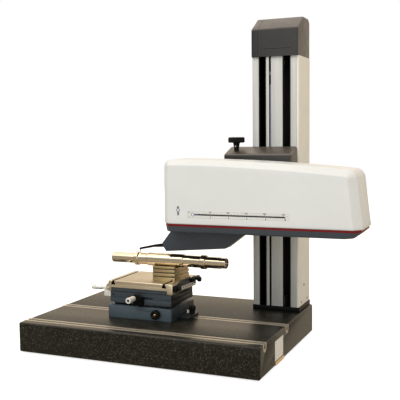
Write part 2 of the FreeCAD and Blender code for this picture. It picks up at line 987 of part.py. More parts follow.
def pan_edge(box):
    """True for the tray's long bottom edges."""
    return box.YLength < 0.01 and abs(box.ZMax - pan_bottom) < 0.01


def drive_pan():
    hollow = pan_form(pan_wall)
    slot = block(neck_left - pan_slot_margin, neck_right + x_travel + pan_slot_margin,
                 probe_y - pan_slot_half_width, probe_y + pan_slot_half_width, pan_bottom, pan_top)
    return cut(rounded(pan_form(0), pan_rounding, pan_edge), hollow, slot)


def tilt_flange():
    """The disc behind the drive unit, on a square boss, with the pivot that turns in the hub."""
    disc = rod("y", hub_radius, (tilt_x, flange_front_y, tilt_z), flange_thickness)
    boss = block(tilt_x - tilt_boss_half, tilt_x + tilt_boss_half, beam_back_y, flange_front_y,
                 tilt_z - tilt_boss_half, tilt_z + tilt_boss_half)
    boss = chamfered(boss, tilt_boss_edge, lambda b: b.XLength < 0.01 and b.ZLength < 0.01)
    pivot = rod("y", pivot_radius, (tilt_x, flange_back_y, tilt_z),
                carrier_front_y - flange_back_y - pivot_end_gap)
    return fuse(disc, boss, pivot)


def drive_beam():
    """A ribbed casting with bays open to the back, solid where the tilt boss is bolted on."""
    solid = block(beam_left, beam_right, beam_front_y, beam_back_y, beam_bottom, beam_top)
    bays = []
    pitch = (beam_right - beam_left - beam_web) / beam_bays
    for k in range(beam_bays):
        x = beam_left + beam_web + k * pitch
        holds_boss = x < tilt_x + tilt_boss_half and x + pitch > tilt_x - tilt_boss_half
        if not holds_boss:
            bays.append(block(x, x + pitch - beam_web, beam_front_y + beam_web, beam_back_y,
                              beam_bottom + beam_web, beam_top - beam_web))
    return cut(solid, *bays)


def traverse_rail():
    half = traverse_rail_height / 2
    inner = half - traverse_rail_neck
    neck_front = beam_front_y - traverse_rail_neck_depth
    rail = block(beam_left, beam_right, rail_face_y, beam_front_y, traverse_rail_z - half,
                 traverse_rail_z + half)
    lower = block(beam_left, beam_right, neck_front, beam_front_y, traverse_rail_z - half,
                  traverse_rail_z - inner)
    upper = block(beam_left, beam_right, neck_front, beam_front_y, traverse_rail_z + inner,
                  traverse_rail_z + half)
    return cut(rail, lower, upper)


def glass_scale():
    return block(beam_left + glass_inset, beam_right - glass_inset, beam_front_y - glass_depth,
                 beam_front_y, glass_z - glass_height / 2, glass_z + glass_height / 2)


def screw_bearings():
    """Two brackets on the beam that hold the traverse screw's ends."""
    half = x_bearing_size / 2
    blocks = []
    for x in (beam_left, beam_right - x_bearing_width):
        bracket = block(x, x + x_bearing_width, x_screw_y - half, beam_front_y,
                        x_screw_z - half, x_screw_z + x_bearing_top)
        bore = rod("x", x_screw_radius + screw_fit, (x, x_screw_y, x_screw_z), x_bearing_width)
        blocks.append(cut(bracket, bore))
    return Part.makeCompound(blocks)


def traverse_screw():
    start = beam_left + x_screw_set_in
    coupling_start = beam_right + motor_gap
    shaft = rod("x", x_screw_radius, (start, x_screw_y, x_screw_z), coupling_start - start)
    coupling = rod("x", x_coupling_radius, (coupling_start, x_screw_y, x_screw_z), x_coupling_length)
    return fuse(shaft, coupling)


def traverse_motor():
    """The motor sits on a bracket at the beam's right end, behind the coupling."""
    half = x_motor_size / 2
    low = x_screw_z + x_motor_rise - x_motor_size
    high = x_screw_z + x_motor_rise
    left = beam_right + x_coupling_room
    right = left + x_motor_length
    body = block(left, right, x_screw_y - half, x_screw_y + half, low, high)
    bracket = block(beam_right, right, x_screw_y + half, beam_back_y, low, high)
    return fuse(body, bracket)


# Traverse

def traverse_slide():
    """The block that wraps the rail, with a neck down through the pan's slot."""
    right = slide_left + slide_length
    back = beam_front_y - glass_depth - reader_gap
    body = block(slide_left, right, slide_front_y, back, slide_bottom, slide_top)
    half = traverse_rail_height / 2 + shoe_fit
    channel = block(slide_left, right, rail_face_y - shoe_fit, back, traverse_rail_z - half,
                    traverse_rail_z + half)
    neck = block(neck_left, neck_right, probe_y - neck_half_width, back, keel_top, slide_bottom)
    neck_top = block(neck_left, neck_right, slide_front_y, back, slide_bottom - 1, slide_bottom)
    return cut(fuse(body, neck_top, neck), channel)


def traverse_nut():
    mid = slide_left + slide_length / 2
    body = block(mid - nut_length / 2, mid + nut_length / 2, x_screw_y - nut_half, x_screw_y + nut_half,
                 slide_top, x_screw_z + nut_half)
    bore = rod("x", x_screw_radius + screw_fit, (mid - nut_length / 2, x_screw_y, x_screw_z), nut_length)
    return cut(body, bore)


def reading_head():
    """Hangs under the slide block and looks at the glass scale."""
    right = slide_left + slide_length
    back = beam_front_y - glass_depth - reader_gap
    return block(neck_right + 1, right, probe_y - reader_reach, back, glass_z - glass_height / 2,
                 slide_bottom)


def keel_outline(inset):
    """The probe housing's side outline, like a boat hull."""
    return [
        (keel_top_left + inset, keel_top - inset),
        (keel_nose_x + inset * 1.2, keel_nose_z),
        (keel_chin_x + inset * 0.6, keel_chin_z + inset),
        (keel_heel_x - inset * 0.3, keel_heel_z + inset),
        (keel_top_right - inset * 2.0, keel_top - inset),
    ]


def probe_housing():
    half = keel_half_width
    outer = prism(keel_outline(0), "y", probe_y - half, probe_y + half)
    outer = chamfered(outer, keel_side_chamfer,
                      lambda b: b.YLength < 0.01 and b.ZMax < keel_top - 0.01 and b.XMax < keel_heel_x + 1
                      or b.YLength < 0.01 and b.ZMin < keel_top - 1 and b.XMax < keel_top_left + 1)
    inner_half = half - keel_wall
    hollow = prism(keel_outline(keel_wall), "y", probe_y - inner_half, probe_y + inner_half)
    arm_slot = block(keel_nose_x - 1, keel_top_left + arm_slot_reach, probe_y - arm_slot_half_width,
                     probe_y + arm_slot_half_width, arm_slot_low, arm_slot_high)
    shell = cut(outer, hollow, arm_slot)
    lugs = []
    for side in (-1, 1):
        inner = probe_y + side * (arm_half_width + pivot_lug_clearance)
        outer_y = probe_y + side * inner_half
        lugs.append(block(pivot_x - pivot_lug, pivot_x + pivot_lug, min(inner, outer_y), max(inner, outer_y),
                          pivot_z - pivot_lug, keel_top - keel_wall))
    hole = rod("y", pivot_pin_radius, (pivot_x, probe_y - inner_half, pivot_z), 2 * inner_half)
    return cut(fuse(shell, *lugs), hole)


def pivot_pin():
    length = 2 * (keel_half_width - keel_wall)
    return rod("y", pivot_pin_radius, (pivot_x, probe_y - length / 2, pivot_z), length)


def probe_arm():
    """A bar that tapers from the pivot to the elbow, in height and in width."""
    root_x = pivot_x + 3 * pivot_lug
    root_low = pivot_z - arm_root_half_height
    root_high = pivot_z + arm_root_half_height
    outline = [
        (root_x, root_low),
        (arm_root_x, root_low - arm_root_drop),
        (arm_mid_x, arm_mid_low),
        (arm_elbow_x + arm_elbow_length, arm_elbow_low),
        (arm_elbow_x, arm_elbow_low),
        (arm_elbow_x, arm_elbow_high),
        (arm_mid_x, arm_mid_high),
        (arm_root_x, root_high),
        (root_x, root_high),
    ]
    bar = prism(outline, "y", probe_y - arm_half_width, probe_y + arm_half_width)
    plan = [
        (root_x, probe_y - arm_half_width),
        (arm_taper_x, probe_y - arm_half_width),
        (arm_elbow_x, probe_y - arm_tip_half_width),
        (arm_elbow_x, probe_y + arm_tip_half_width),
        (arm_taper_x, probe_y + arm_half_width),
        (root_x, probe_y + arm_half_width),
    ]
    bar = bar.common(prism(plan, "z", arm_elbow_low, root_high))
    bore = rod("y", pivot_pin_radius + pivot_fit, (pivot_x, probe_y - arm_half_width, pivot_z),
               2 * arm_half_width)
    return cut(bar, bore)


def stylus_tip():
    shank_z = tip_z + stylus_point
    shank = taper(stylus_sides, stylus_radius, stylus_radius, (tip_x, probe_y, shank_z),
                  arm_elbow_low - shank_z)
    point = taper(stylus_sides, stylus_point_radius, stylus_radius, (tip_x, probe_y, tip_z), stylus_point)
    return fuse(shank, point)


# Cross table

def table_base():
    """A block with a channel for the wedge and two ears for the hinge pin."""
    body = block(base_left, base_right, base_front_y, base_back_y, plate_top, base_top)
    body = chamfered(body, base_chamfer, upright)
    channel_half = wedge_width / 2 + slide_gap
    channel = block(wedge_x - channel_half, wedge_x + channel_half,
                    wedge_contact_y - wedge_lead - wedge_travel - 1,
                    wedge_contact_y - wedge_lead + wedge_length + 1, wedge_bottom - slide_gap, base_top)
    bore = rod("y", tilt_screw_radius + screw_fit, (wedge_x, base_front_y, tilt_knob_z), base_depth / 2)
    trough = rod("y", hinge_knuckle_radius + hinge_clearance,
                 (hinge_x, base_front_y + hinge_end - hinge_clearance, hinge_z),
                 base_depth - 2 * hinge_end + 2 * hinge_clearance)
    body = cut(body, channel, bore, trough)
    half = hinge_knuckle_radius - hinge_clearance
    ears = []
    for y in (base_front_y + hinge_end / 2, base_back_y - hinge_end):
        ear = block(hinge_x - half, hinge_x + half, y, y + hinge_end / 2, base_top - 1, hinge_z + half)
        ears.append(chamfered(ear, hinge_ear_edge, lambda b: b.XLength < 0.01 and b.ZMin > hinge_z + 1
                              and b.ZLength < 0.01))
    pin_hole = rod("y", hinge_pin_radius, (hinge_x, base_front_y, hinge_z), base_depth)
    return cut(fuse(body, *ears), pin_hole)


def hinge_pin():
    y = base_front_y + hinge_end / 2
    return rod("y", hinge_pin_radius, (hinge_x, y, hinge_z), base_depth - hinge_end)


def dovetail(axis, centre, start, end, bottom, top, margin):
    """A tongue that is wider at its top, along one axis. A margin gives the groove for it."""
    narrow = dovetail_width / 2 + margin
    wide = narrow + dovetail_flare
    points = [(centre - narrow, bottom), (centre + narrow, bottom), (centre + wide, top),
              (centre - wide, top)]
    return prism(points, axis, start, end)


def tilt_block():
    """Turns on the hinge pin at its left, rests on the wedge, and carries the front-to-back tongue."""
    body = block(tilt_left, tilt_right, tilt_front_y, tilt_back_y, tilt_bottom, tilt_top)
    tongue = dovetail("y", table_mid_x, tilt_front_y + table_travel, tilt_back_y - table_travel,
                      tilt_top, tilt_top + dovetail_depth, 0)
    knuckle_start = base_front_y + hinge_end
    knuckle_end = base_back_y - hinge_end
    knuckle = rod("y", hinge_knuckle_radius, (hinge_x, knuckle_start, hinge_z), knuckle_end - knuckle_start)
    knuckle_web = block(tilt_left, hinge_x + hinge_knuckle_radius, knuckle_start, knuckle_end, hinge_z,
                        tilt_bottom + 1)
    room_half = wedge_width / 2 + wedge_room_gap
    wedge_room = block(wedge_x - room_half, wedge_x + room_half,
                       wedge_contact_y - wedge_lead - wedge_travel - 2 * wedge_room_gap,
                       wedge_contact_y + wedge_length, tilt_bottom, tilt_bottom + wedge_room_height)
    ear_half = hinge_knuckle_radius + hinge_clearance
    ear_rooms = [block(hinge_x - ear_half, hinge_x + ear_half, y, y + hinge_end, tilt_bottom,
                       hinge_z + ear_half)
                 for y in (tilt_front_y - 1, knuckle_end - hinge_clearance)]
    pin_hole = rod("y", hinge_pin_radius + hinge_fit, (hinge_x, base_front_y, hinge_z), base_depth)
    body = cut(fuse(body, tongue, knuckle, knuckle_web), wedge_room, *ear_rooms)
    return cut(fuse(body, wedge_rib()), pin_hole)


def slope_z(y):
    """The height of the wedge's top face at rest."""
    return wedge_contact_z - (y - wedge_contact_y) * math.tan(math.radians(wedge_angle))


def wedge_rib():
    """The narrow rib under the tilt block that rides on the wedge."""
    y0 = wedge_contact_y - rib_length / 2
    y1 = wedge_contact_y + rib_length / 2
    top = tilt_bottom + rib_root
    points = [(y0, slope_z(y0) + wedge_fit), (y1, slope_z(y1) + wedge_fit), (y1, top), (y0, top)]
    return prism(points, "x", wedge_x - rib_width / 2, wedge_x + rib_width / 2)


def tilt_wedge():
    y0 = wedge_contact_y - wedge_lead
    y1 = y0 + wedge_length
    points = [(y0, wedge_bottom), (y1, wedge_bottom), (y1, slope_z(y1)), (y0, slope_z(y0))]
    body = prism(points, "x", wedge_x - wedge_width / 2, wedge_x + wedge_width / 2)
    bore = rod("y", tilt_screw_radius + screw_fit, (wedge_x, y0, tilt_knob_z), wedge_length)
    return cut(body, bore)


def tilt_knob():
    """A toothed grip with a pocket in its face for the screw's brass end."""
    back = base_front_y - slide_gap
    front = back - tilt_knob_length
    outline = lobed_outline(wedge_x, tilt_knob_z, tilt_knob_radius, tilt_knob_tooth, tilt_knob_teeth)
    head = prism(outline, "y", front, back)
    pocket = rod("y", tilt_insert_radius, (wedge_x, front, tilt_knob_z), tilt_pocket_depth)
    bore = rod("y", tilt_screw_radius, (wedge_x, front, tilt_knob_z), tilt_knob_length)
    return cut(head, pocket, bore)


def tilt_screw():
    """The screw behind the knob, with the brass end that shows in the knob's face."""
    insert_y = base_front_y - slide_gap - tilt_knob_length + tilt_insert_set_in
    end_y = wedge_contact_y - wedge_lead + wedge_length - z_screw_set_in
    stud = rod("y", tilt_screw_radius, (wedge_x, insert_y, tilt_knob_z), end_y - insert_y)
    insert = rod("y", tilt_insert_radius, (wedge_x, insert_y, tilt_knob_z), tilt_insert_length)
    return fuse(stud, insert)


def tilt_pad():
    """A ground steel strip under the tilt block's right edge."""
    return block(pad_left, pad_left + pad_width, tilt_front_y + 1, tilt_front_y + pad_depth,
                 tilt_bottom - pad_thickness, tilt_bottom)


def cross_slide():
    """Grooves on both faces: front to back below, left to right above."""
    body = block(tilt_left, tilt_right, tilt_front_y + 1, tilt_back_y - 1, cross_bottom, cross_top)
    lower = dovetail("y", table_mid_x, tilt_front_y, tilt_back_y, tilt_top,
                     tilt_top + dovetail_depth + dovetail_fit, dovetail_fit)
    upper_narrow = dovetail_width / 2 + dovetail_fit
    upper_wide = upper_narrow + dovetail_flare
    low = table_bottom - dovetail_depth - dovetail_fit
    points = [(table_mid_y - upper_narrow, table_bottom), (table_mid_y + upper_narrow, table_bottom),
              (table_mid_y + upper_wide, low), (table_mid_y - upper_wide, low)]
    upper = prism(points, "x", tilt_left, tilt_right)
    return cut(body, lower, upper)


def table_top():
    body = block(table_left, table_right, base_front_y, table_back_y, table_bottom, table_surface)
    body = body.makeChamfer(table_edge, [e for e in body.Edges if at_height(table_surface)(e.BoundBox)])
    slots = []
    for x in (table_left + top_slot_inset, table_right - top_slot_inset - top_slot_right_shift):
        lip = table_surface - top_slot_lip
        slots.append(block(x - top_slot_mouth / 2, x + top_slot_mouth / 2, base_front_y, table_back_y,
                           lip, table_surface))
        slots.append(block(x - top_slot_head / 2, x + top_slot_head / 2, base_front_y, table_back_y,
                           lip - top_slot_head_height, lip))
    narrow = dovetail_width / 2
    wide = narrow + dovetail_flare
    low = table_bottom - dovetail_depth
    points = [(table_mid_y - narrow, table_bottom), (table_mid_y + narrow, table_bottom),
              (table_mid_y + wide, low), (table_mid_y - wide, low)]
    tongue = prism(points, "x", tilt_left + table_travel, tilt_right - table_travel)
    return cut(fuse(body, tongue), *slots)


def front_micrometer():
    """A round flange on a foot of the tilt block, with the graduated sleeve."""
    back = tilt_front_y - mic_standoff
    sleeve_start = back - mic_flange_thickness - 2 * mic_gap
    flange = rod("y", mic_flange_radius, (front_mic_x, back - mic_flange_thickness, front_flange_z),
                 mic_flange_thickness)
    foot = block(front_mic_x - mic_foot_half_width, front_mic_x + mic_foot_half_width,
                 back - 1, tilt_front_y, tilt_bottom, tilt_top - 1)
    sleeve = rod("y", sleeve_radius, (front_mic_x, sleeve_start, front_mic_z), 2 * mic_gap + 1)
    bore = rod("y", spindle_pin_radius + screw_fit, (front_mic_x, sleeve_start, front_mic_z),
               tilt_front_y - sleeve_start)
    return cut(fuse(flange, foot, sleeve), bore)


def thimble(axis, start, spindle_end):
    """A cup with the spindle inside, its closed end at the start."""
    along = AXES[axis]
    origin = V(*start)
    cup = Part.makeCylinder(thimble_radius, thimble_length, origin, along)
    bore = Part.makeCylinder(sleeve_radius + sleeve_fit, thimble_length - thimble_cap,
                             origin + along * thimble_cap, along)
    spindle = Part.makeCylinder(spindle_pin_radius, spindle_end - 1, origin + along, along)
    return fuse(cut(cup, bore), spindle)


def front_thimble():
    end = tilt_front_y - mic_standoff - mic_flange_thickness - mic_gap
    start = end - thimble_length
    reach = tilt_front_y + 1 - start - 1
    return thimble("y", (front_mic_x, start, front_mic_z), reach - slide_gap)


def left_micrometer():
    """An angle bracket on the cross slide's left face, with the graduated sleeve."""
    back = table_left - mic_standoff + 2
    low = cross_bottom + 1
    foot = block(back - 1, tilt_left, left_mic_y - mic_foot_half_width, left_mic_y + mic_foot_half_width,
                 low, cross_top - 2)
    front = back - left_flange_thickness
    flange = rod("x", mic_foot_half_width, (front, left_mic_y, left_mic_z), left_flange_thickness)
    post = block(front, back, left_mic_y - mic_foot_half_width, left_mic_y + mic_foot_half_width,
                 low, left_mic_z)
    sleeve_start = front - 2 * mic_gap
    sleeve = rod("x", sleeve_radius, (sleeve_start, left_mic_y, left_mic_z), 2 * mic_gap + 1)
    bore = rod("x", spindle_pin_radius + screw_fit, (sleeve_start, left_mic_y, left_mic_z),
               tilt_left - sleeve_start)
    return cut(fuse(foot, flange, post, sleeve), bore)


def left_thimble():
    end = table_left - mic_standoff + 2 - left_flange_thickness - mic_gap
    start = end - thimble_length
    reach = table_left - start - 1
    return thimble("x", (start, left_mic_y, left_mic_z), reach - slide_gap)


def v_block():
    """A stepped block with a shallow V along X and grooves along its front face."""
    right = vee_left + vee_width
    slope = math.radians(vee_angle)
    contact_y = barrel_radius * math.sin(slope)
    contact_z = shaft_z - barrel_radius * math.cos(slope)
    top = contact_z + vee_top_gap
    half = contact_y + vee_top_gap / math.tan(slope)
    vertex = contact_z - contact_y * math.tan(slope) - vee_fit / math.cos(slope)
    body = block(vee_left, right, vee_front_y, vee_front_y + vee_depth, table_surface, top)
    step = block(vee_left, right, vee_step_y, vee_front_y + vee_depth, top - vee_step, top)
    groove = prism([(probe_y - half, top), (probe_y, vertex), (probe_y + half, top)],
                   "x", vee_left, right)
    ribs = []
    for level in (0.22, 0.5, 0.76):
        z = table_surface + level * (top - table_surface)
        ribs.append(block(vee_left, right, vee_front_y, vee_front_y + vee_rib_depth,
                          z, z + vee_rib_height))
        ribs.append(block(right - vee_rib_depth, right, vee_front_y, vee_front_y + vee_depth,
                          z, z + vee_rib_height))
    return cut(body, step, groove, *ribs)


def workpiece_shaft():
    """A turned shaft: journal, ring collar, neck, barrel, neck, second collar and tail."""
    collar_right = shaft_collar_x + shaft_collar_width
    outline = [
        (shaft_left, 0),
        (shaft_left, journal_radius),
        (shaft_collar_x, journal_radius),
        (shaft_collar_x, collar_one_radius),
        (collar_right, collar_one_radius),
        (collar_right, neck_radius),
        (barrel_left, neck_radius),
        (barrel_left, barrel_radius),
        (barrel_right, barrel_radius),
        (barrel_right, neck_radius),
        (collar_two_left, neck_radius),
        (collar_two_left, collar_two_radius),
        (collar_two_right, collar_two_radius),
        (collar_two_right, tail_radius),
        (tail_step_x, tail_radius),
        (tail_step_x, tail_end_radius),
        (shaft_right, tail_end_radius),
        (shaft_right, 0),
    ]
    points = [V(x, probe_y, shaft_z + r) for x, r in outline]
    face = Part.Face(Part.makePolygon(points + points[:1]))
    return face.revolve(V(0, probe_y, shaft_z), AXES["x"], 360)


def side_stop_bar():
    """A toothed bar along the table top's right face, with two knurled knobs at its rear end."""
    left = table_right
    right = left + stop_thickness
    low = table_bottom + stop_rise
    bar_top = low + stop_height / 2
    bar = block(left, right, stop_front_y, stop_back_y, low, bar_top)
    lip = block(left, right + stop_lip_reach, stop_front_y, table_back_y, low, low + stop_lip_height)
    post_front_y = table_back_y - stop_post_reach
    gaps = []
    y = stop_front_y + 2 * stop_tooth
    while y < post_front_y - stop_tooth:
        gaps.append(block(right - stop_tooth_depth, right, y, y + stop_tooth, low + stop_lip_height,
                          bar_top))
        y += 2 * stop_tooth
    post = block(left, right, post_front_y, stop_back_y, low, low + stop_post_height)
    z = low + stop_height
    knobs = [rod("x", stop_knob_radius, (right, table_back_y + shift, z), stop_knob_length)
             for shift in stop_knob_shifts]
    return fuse(cut(fuse(bar, lip, post), *gaps), *knobs)


def base_clamp():
    """A strap on the base's right side, held down by a stud and a T-nut in the rear rail."""
    left = base_right
    strap = block(left, left + clamp_width, clamp_front_y, clamp_back_y, plate_top,
                  plate_top + clamp_thickness)
    strap = chamfered(strap, clamp_edge, lambda b: upright(b) and b.XMin > left + 1)
    stud = rod("z", clamp_stud_radius, (clamp_x, clamp_y, plate_top), clamp_thickness + clamp_stud_rise)
    pin = rod("z", clamp_pin_radius, (clamp_pin_x, clamp_y, plate_top), clamp_pin_height)
    nut_top = plate_top - slot_lip - slide_gap
    nut_bottom = plate_top - slot_lip - slot_head_height + t_nut_fit
    head_half = slot_head_width / 2 - t_nut_fit
    mouth_half = slot_mouth / 2 - slide_gap
    t_nut = block(clamp_x - t_nut_half, clamp_x + t_nut_half, clamp_y - head_half, clamp_y + head_half,
                  nut_bottom, nut_top)
    t_neck = block(clamp_x - t_nut_half, clamp_x + t_nut_half, clamp_y - mouth_half, clamp_y + mouth_half,
                   nut_top, plate_top)
    return fuse(strap, stud, pin, t_nut, t_neck)


def base_clamp_knob():
    """The hand nut on the clamp's stud: a hexagon on the strap with a toothed knob above."""
    low = plate_top + clamp_thickness + slide_gap
    collar = taper(clamp_collar_sides, clamp_collar_radius, clamp_collar_radius, (clamp_x, clamp_y, low),
                   clamp_knob_lift)
    outline = lobed_outline(clamp_x, clamp_y, clamp_knob_radius, clamp_knob_tooth, clamp_knob_teeth)
    knob = prism(outline, "z", low + clamp_knob_lift, low + clamp_knob_lift + clamp_knob_height)
    bore = rod("z", clamp_stud_radius + screw_fit, (clamp_x, clamp_y, low), clamp_stud_rise)
    return cut(fuse(collar, knob), bore)


def main():
    os.makedirs("parts", exist_ok=True)
    export("granite_plate", granite_plate())
    export("rubber_feet", rubber_feet())
    export("t_rail_front", t_rail(rail_front_y))
    export("t_rail_rear", t_rail(rail_rear_y))
    export("column_foot", column_foot())
    export("column_profile", column_profile())
    export("column_cover_strip", column_cover_strip())
    export("limit_rod", limit_rod())
    export("column_side_panel", column_side_panel())
    export("column_top_plate", column_top_plate())
    export("vertical_guides", vertical_guides())
    export("height_screw_bearings", height_screw_bearings())
    export("height_motor", height_motor())
    export("column_cap", column_cap())
    export("connector_plate", connector_plate())
    export("height_screw", height_screw())
    export("carriage_cover", carriage_cover())
    export("carrier_plate", carrier_plate())
    export("saddle", saddle())
    export("guide_shoes", guide_shoes())
    export("height_nut", height_nut())
    export("tilt_hub", tilt_hub())
    export("clamp_knob", clamp_knob())
    export("clamp_spindle", clamp_spindle())
    export("tilt_flange", tilt_flange())
    export("drive_beam", drive_beam())
    export("drive_cover", drive_cover())
    export("trim_frame", trim_frame())
    export("drive_pan", drive_pan())
    export("scale_window", scale_window())
    export("traverse_rail", traverse_rail())
    export("glass_scale", glass_scale())
    export("screw_bearings", screw_bearings())
    export("traverse_motor", traverse_motor())
    export("traverse_screw", traverse_screw())
    export("traverse_slide", traverse_slide())
    export("traverse_nut", traverse_nut())
    export("reading_head", reading_head())
    export("probe_housing", probe_housing())
    export("pivot_pin", pivot_pin())
    export("probe_arm", probe_arm())
    export("stylus_tip", stylus_tip())
    export("table_base", table_base())
    export("hinge_pin", hinge_pin())
    export("base_clamp", base_clamp())
    export("base_clamp_knob", base_clamp_knob())
    export("tilt_block", tilt_block())
    export("tilt_pad", tilt_pad())
    export("tilt_wedge", tilt_wedge())
    export("tilt_knob", tilt_knob())
    export("tilt_screw", tilt_screw())
    export("front_micrometer", front_micrometer())
    export("front_thimble", front_thimble())
    export("cross_slide", cross_slide())
    export("left_micrometer", left_micrometer())
    export("left_thimble", left_thimble())
    export("table_top", table_top())
    export("side_stop_bar", side_stop_bar())
    export("v_block", v_block())
    export("workpiece_shaft", workpiece_shaft())


main()
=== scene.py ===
import json
import math
import bmesh
import bpy
from mathutils import Matrix, Vector


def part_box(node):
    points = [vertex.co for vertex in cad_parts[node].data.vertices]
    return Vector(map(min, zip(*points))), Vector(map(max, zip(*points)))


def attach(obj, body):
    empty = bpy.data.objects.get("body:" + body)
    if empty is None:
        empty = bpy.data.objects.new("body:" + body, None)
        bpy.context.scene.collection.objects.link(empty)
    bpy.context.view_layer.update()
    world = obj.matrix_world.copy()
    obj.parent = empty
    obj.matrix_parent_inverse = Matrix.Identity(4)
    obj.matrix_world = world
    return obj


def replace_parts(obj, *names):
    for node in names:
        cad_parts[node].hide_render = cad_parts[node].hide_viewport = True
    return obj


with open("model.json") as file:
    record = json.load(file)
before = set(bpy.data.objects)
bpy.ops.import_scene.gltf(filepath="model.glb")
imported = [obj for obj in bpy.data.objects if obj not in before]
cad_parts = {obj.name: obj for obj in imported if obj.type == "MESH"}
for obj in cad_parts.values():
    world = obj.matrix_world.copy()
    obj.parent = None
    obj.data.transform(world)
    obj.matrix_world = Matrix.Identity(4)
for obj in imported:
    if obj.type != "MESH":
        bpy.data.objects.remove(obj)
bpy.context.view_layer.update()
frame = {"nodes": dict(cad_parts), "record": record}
nodes = frame["nodes"]

# Positions are written in millimetres in the part's frame and turned into metres here
MM = 0.001


def V(x, y, z):
    """A point in metres from millimetres."""
    return Vector((x * MM, y * MM, z * MM))


def span(node):
    """The lowest and highest corners of a CAD node, in millimetres."""
    low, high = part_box(node)
    return low / MM, high / MM


class Nodes:
    """Short calls that add nodes to a tree and link them."""

    def __init__(self, tree):
        self.tree = tree

    def node(self, kind, inputs=None, **settings):
        """Adds a node. Each input gets a plain value, a socket or another node's first output."""
        made = self.tree.nodes.new("ShaderNode" + kind)
        for key, value in settings.items():
            setattr(made, key, value)
        for key, value in (inputs or {}).items():
            if isinstance(value, bpy.types.Node):
                value = value.outputs[0]
            if isinstance(value, bpy.types.NodeSocket):
                self.link(value, made.inputs[key])
            else:
                made.inputs[key].default_value = value
        return made

    def link(self, start, end):
        self.tree.links.new(start, end)

    def blend(self, fac, first, second):
        """Mixes two colours, each a tuple or a socket."""
        first, second = ((*c, 1) if isinstance(c, tuple) else c for c in (first, second))
        return self.node("Mix", {"Factor": fac, 6: first, 7: second}, data_type="RGBA").outputs[2]


# Camera and light

camera_place = (0.903886, -1.898253, 0.588402)
camera_azimuth = 23.15
camera_elevation = 4.81
camera_roll = -0.639
camera_lens = 66.6
soft_light = 0.80
floor_glow = 0.80
floor_half = 6


def make_camera():
    data = bpy.data.cameras.new("view")
    data.lens = camera_lens
    camera = bpy.data.objects.new("view", data)
    azimuth, elevation, roll = (math.radians(a) for a in (camera_azimuth, camera_elevation, camera_roll))
    back = Vector((math.sin(azimuth) * math.cos(elevation), -math.cos(azimuth) * math.cos(elevation),
                   math.sin(elevation)))
    right = (-back).cross(Vector((0, 0, 1))).normalized()
    up = right.cross(-back)
    tilted_right = right * math.cos(roll) + up * math.sin(roll)
    tilted_up = up * math.cos(roll) - right * math.sin(roll)
    turn = Matrix((tilted_right, tilted_up, back)).transposed().to_4x4()
    camera.matrix_world = Matrix.Translation(camera_place) @ turn
    bpy.context.scene.collection.objects.link(camera)
    bpy.context.scene.camera = camera


def area_light(name, place, target, size, power, colour):
    data = bpy.data.lights.new(name, "AREA")
    data.shape = "RECTANGLE"
    data.size, data.size_y = size
    data.energy = power
    data.color = colour
    light = bpy.data.objects.new(name, data)
    light.location = place
    light.rotation_euler = (Vector(target) - Vector(place)).to_track_quat("-Z", "Y").to_euler()
    bpy.context.scene.collection.objects.link(light)


def make_world():
    """White where the camera and glass look. Soft light is neutral in front and warm above."""
    world = bpy.data.worlds.new("studio")
    bpy.context.scene.world = world
    world.use_nodes = True
    world.node_tree.nodes.clear()
    room = Nodes(world.node_tree)
    path = room.node("LightPath").outputs
    parts = room.node("SeparateXYZ", {0: room.node("TexCoord").outputs["Generated"]}).outputs

    def towards(axis, low, high, first, second):
        """Blends two colours by how far a direction points along one axis."""
        share = room.node("MapRange", {"From Min": low, "From Max": high, "Value": parts[axis]},
                          interpolation_type="SMOOTHSTEP")
        return room.blend(share, first, second)

    soft = towards("Y", -0.8, 0.9, (0.66, 0.68, 0.67), (0.30, 0.27, 0.23))
    soft = towards("X", 0.1, 1.0, soft, (0.80, 0.72, 0.60))
    soft = towards("Z", 0.15, 0.95, soft, (1.35, 1.24, 1.10))
    shine = towards("Y", -0.5, 0.6, (0.46, 0.46, 0.45), (0.98, 0.82, 0.62))
    shine = towards("X", 0.2, 1.0, shine, (1.10, 0.96, 0.78))
    shine = towards("Z", 0.30, 0.85, shine, (2.2, 1.95, 1.68))
    diffuse = room.node("Background", {"Color": soft, "Strength": soft_light})
    glossy = room.node("Background", {"Color": shine})
    white = room.node("Background", {"Color": (1, 1, 1, 1)})
    seen = room.node("Math", {0: path["Is Camera Ray"], 1: path["Is Transmission Ray"]}, operation="MAXIMUM")
    light = room.node("MixShader", {"Fac": path["Is Glossy Ray"], 1: diffuse, 2: glossy})
    room.node("OutputWorld", {"Surface": room.node("MixShader", {"Fac": seen, 1: light, 2: white})})


def make_floor():
    """A pale floor that glows for the camera, keeps the shadow, and looks warm in reflections."""
    mesh = bpy.data.meshes.new("floor")
    bm = bmesh.new()
    bmesh.ops.create_grid(bm, x_segments=1, y_segments=1, size=floor_half)
    bm.to_mesh(mesh)
    bm.free()
    floor = bpy.data.objects.new("floor", mesh)
    bpy.context.scene.collection.objects.link(floor)
    material = bpy.data.materials.new("floor_white")
    material.use_nodes = True
    tree = Nodes(material.node_tree)
    matt = material.node_tree.nodes["Principled BSDF"]
    matt.inputs["Base Color"].default_value = (0.55, 0.54, 0.52, 1)
    matt.inputs["Roughness"].default_value = 0.9
    matt.inputs["Specular IOR Level"].default_value = 0.0
    path = tree.node("LightPath").outputs
    seen = tree.node("AddShader", {0: matt, 1: tree.node("Emission", {"Strength": floor_glow})})
    warm = tree.node("Emission", {"Color": (0.62, 0.52, 0.39, 1)})
    mirrored = tree.node("MixShader", {"Fac": path["Is Glossy Ray"], 1: matt, 2: warm})
    shown = tree.node("MixShader", {"Fac": path["Is Camera Ray"], 1: mirrored, 2: seen})
    tree.link(shown.outputs[0], material.node_tree.nodes["Material Output"].inputs["Surface"])
    mesh.materials.append(material)


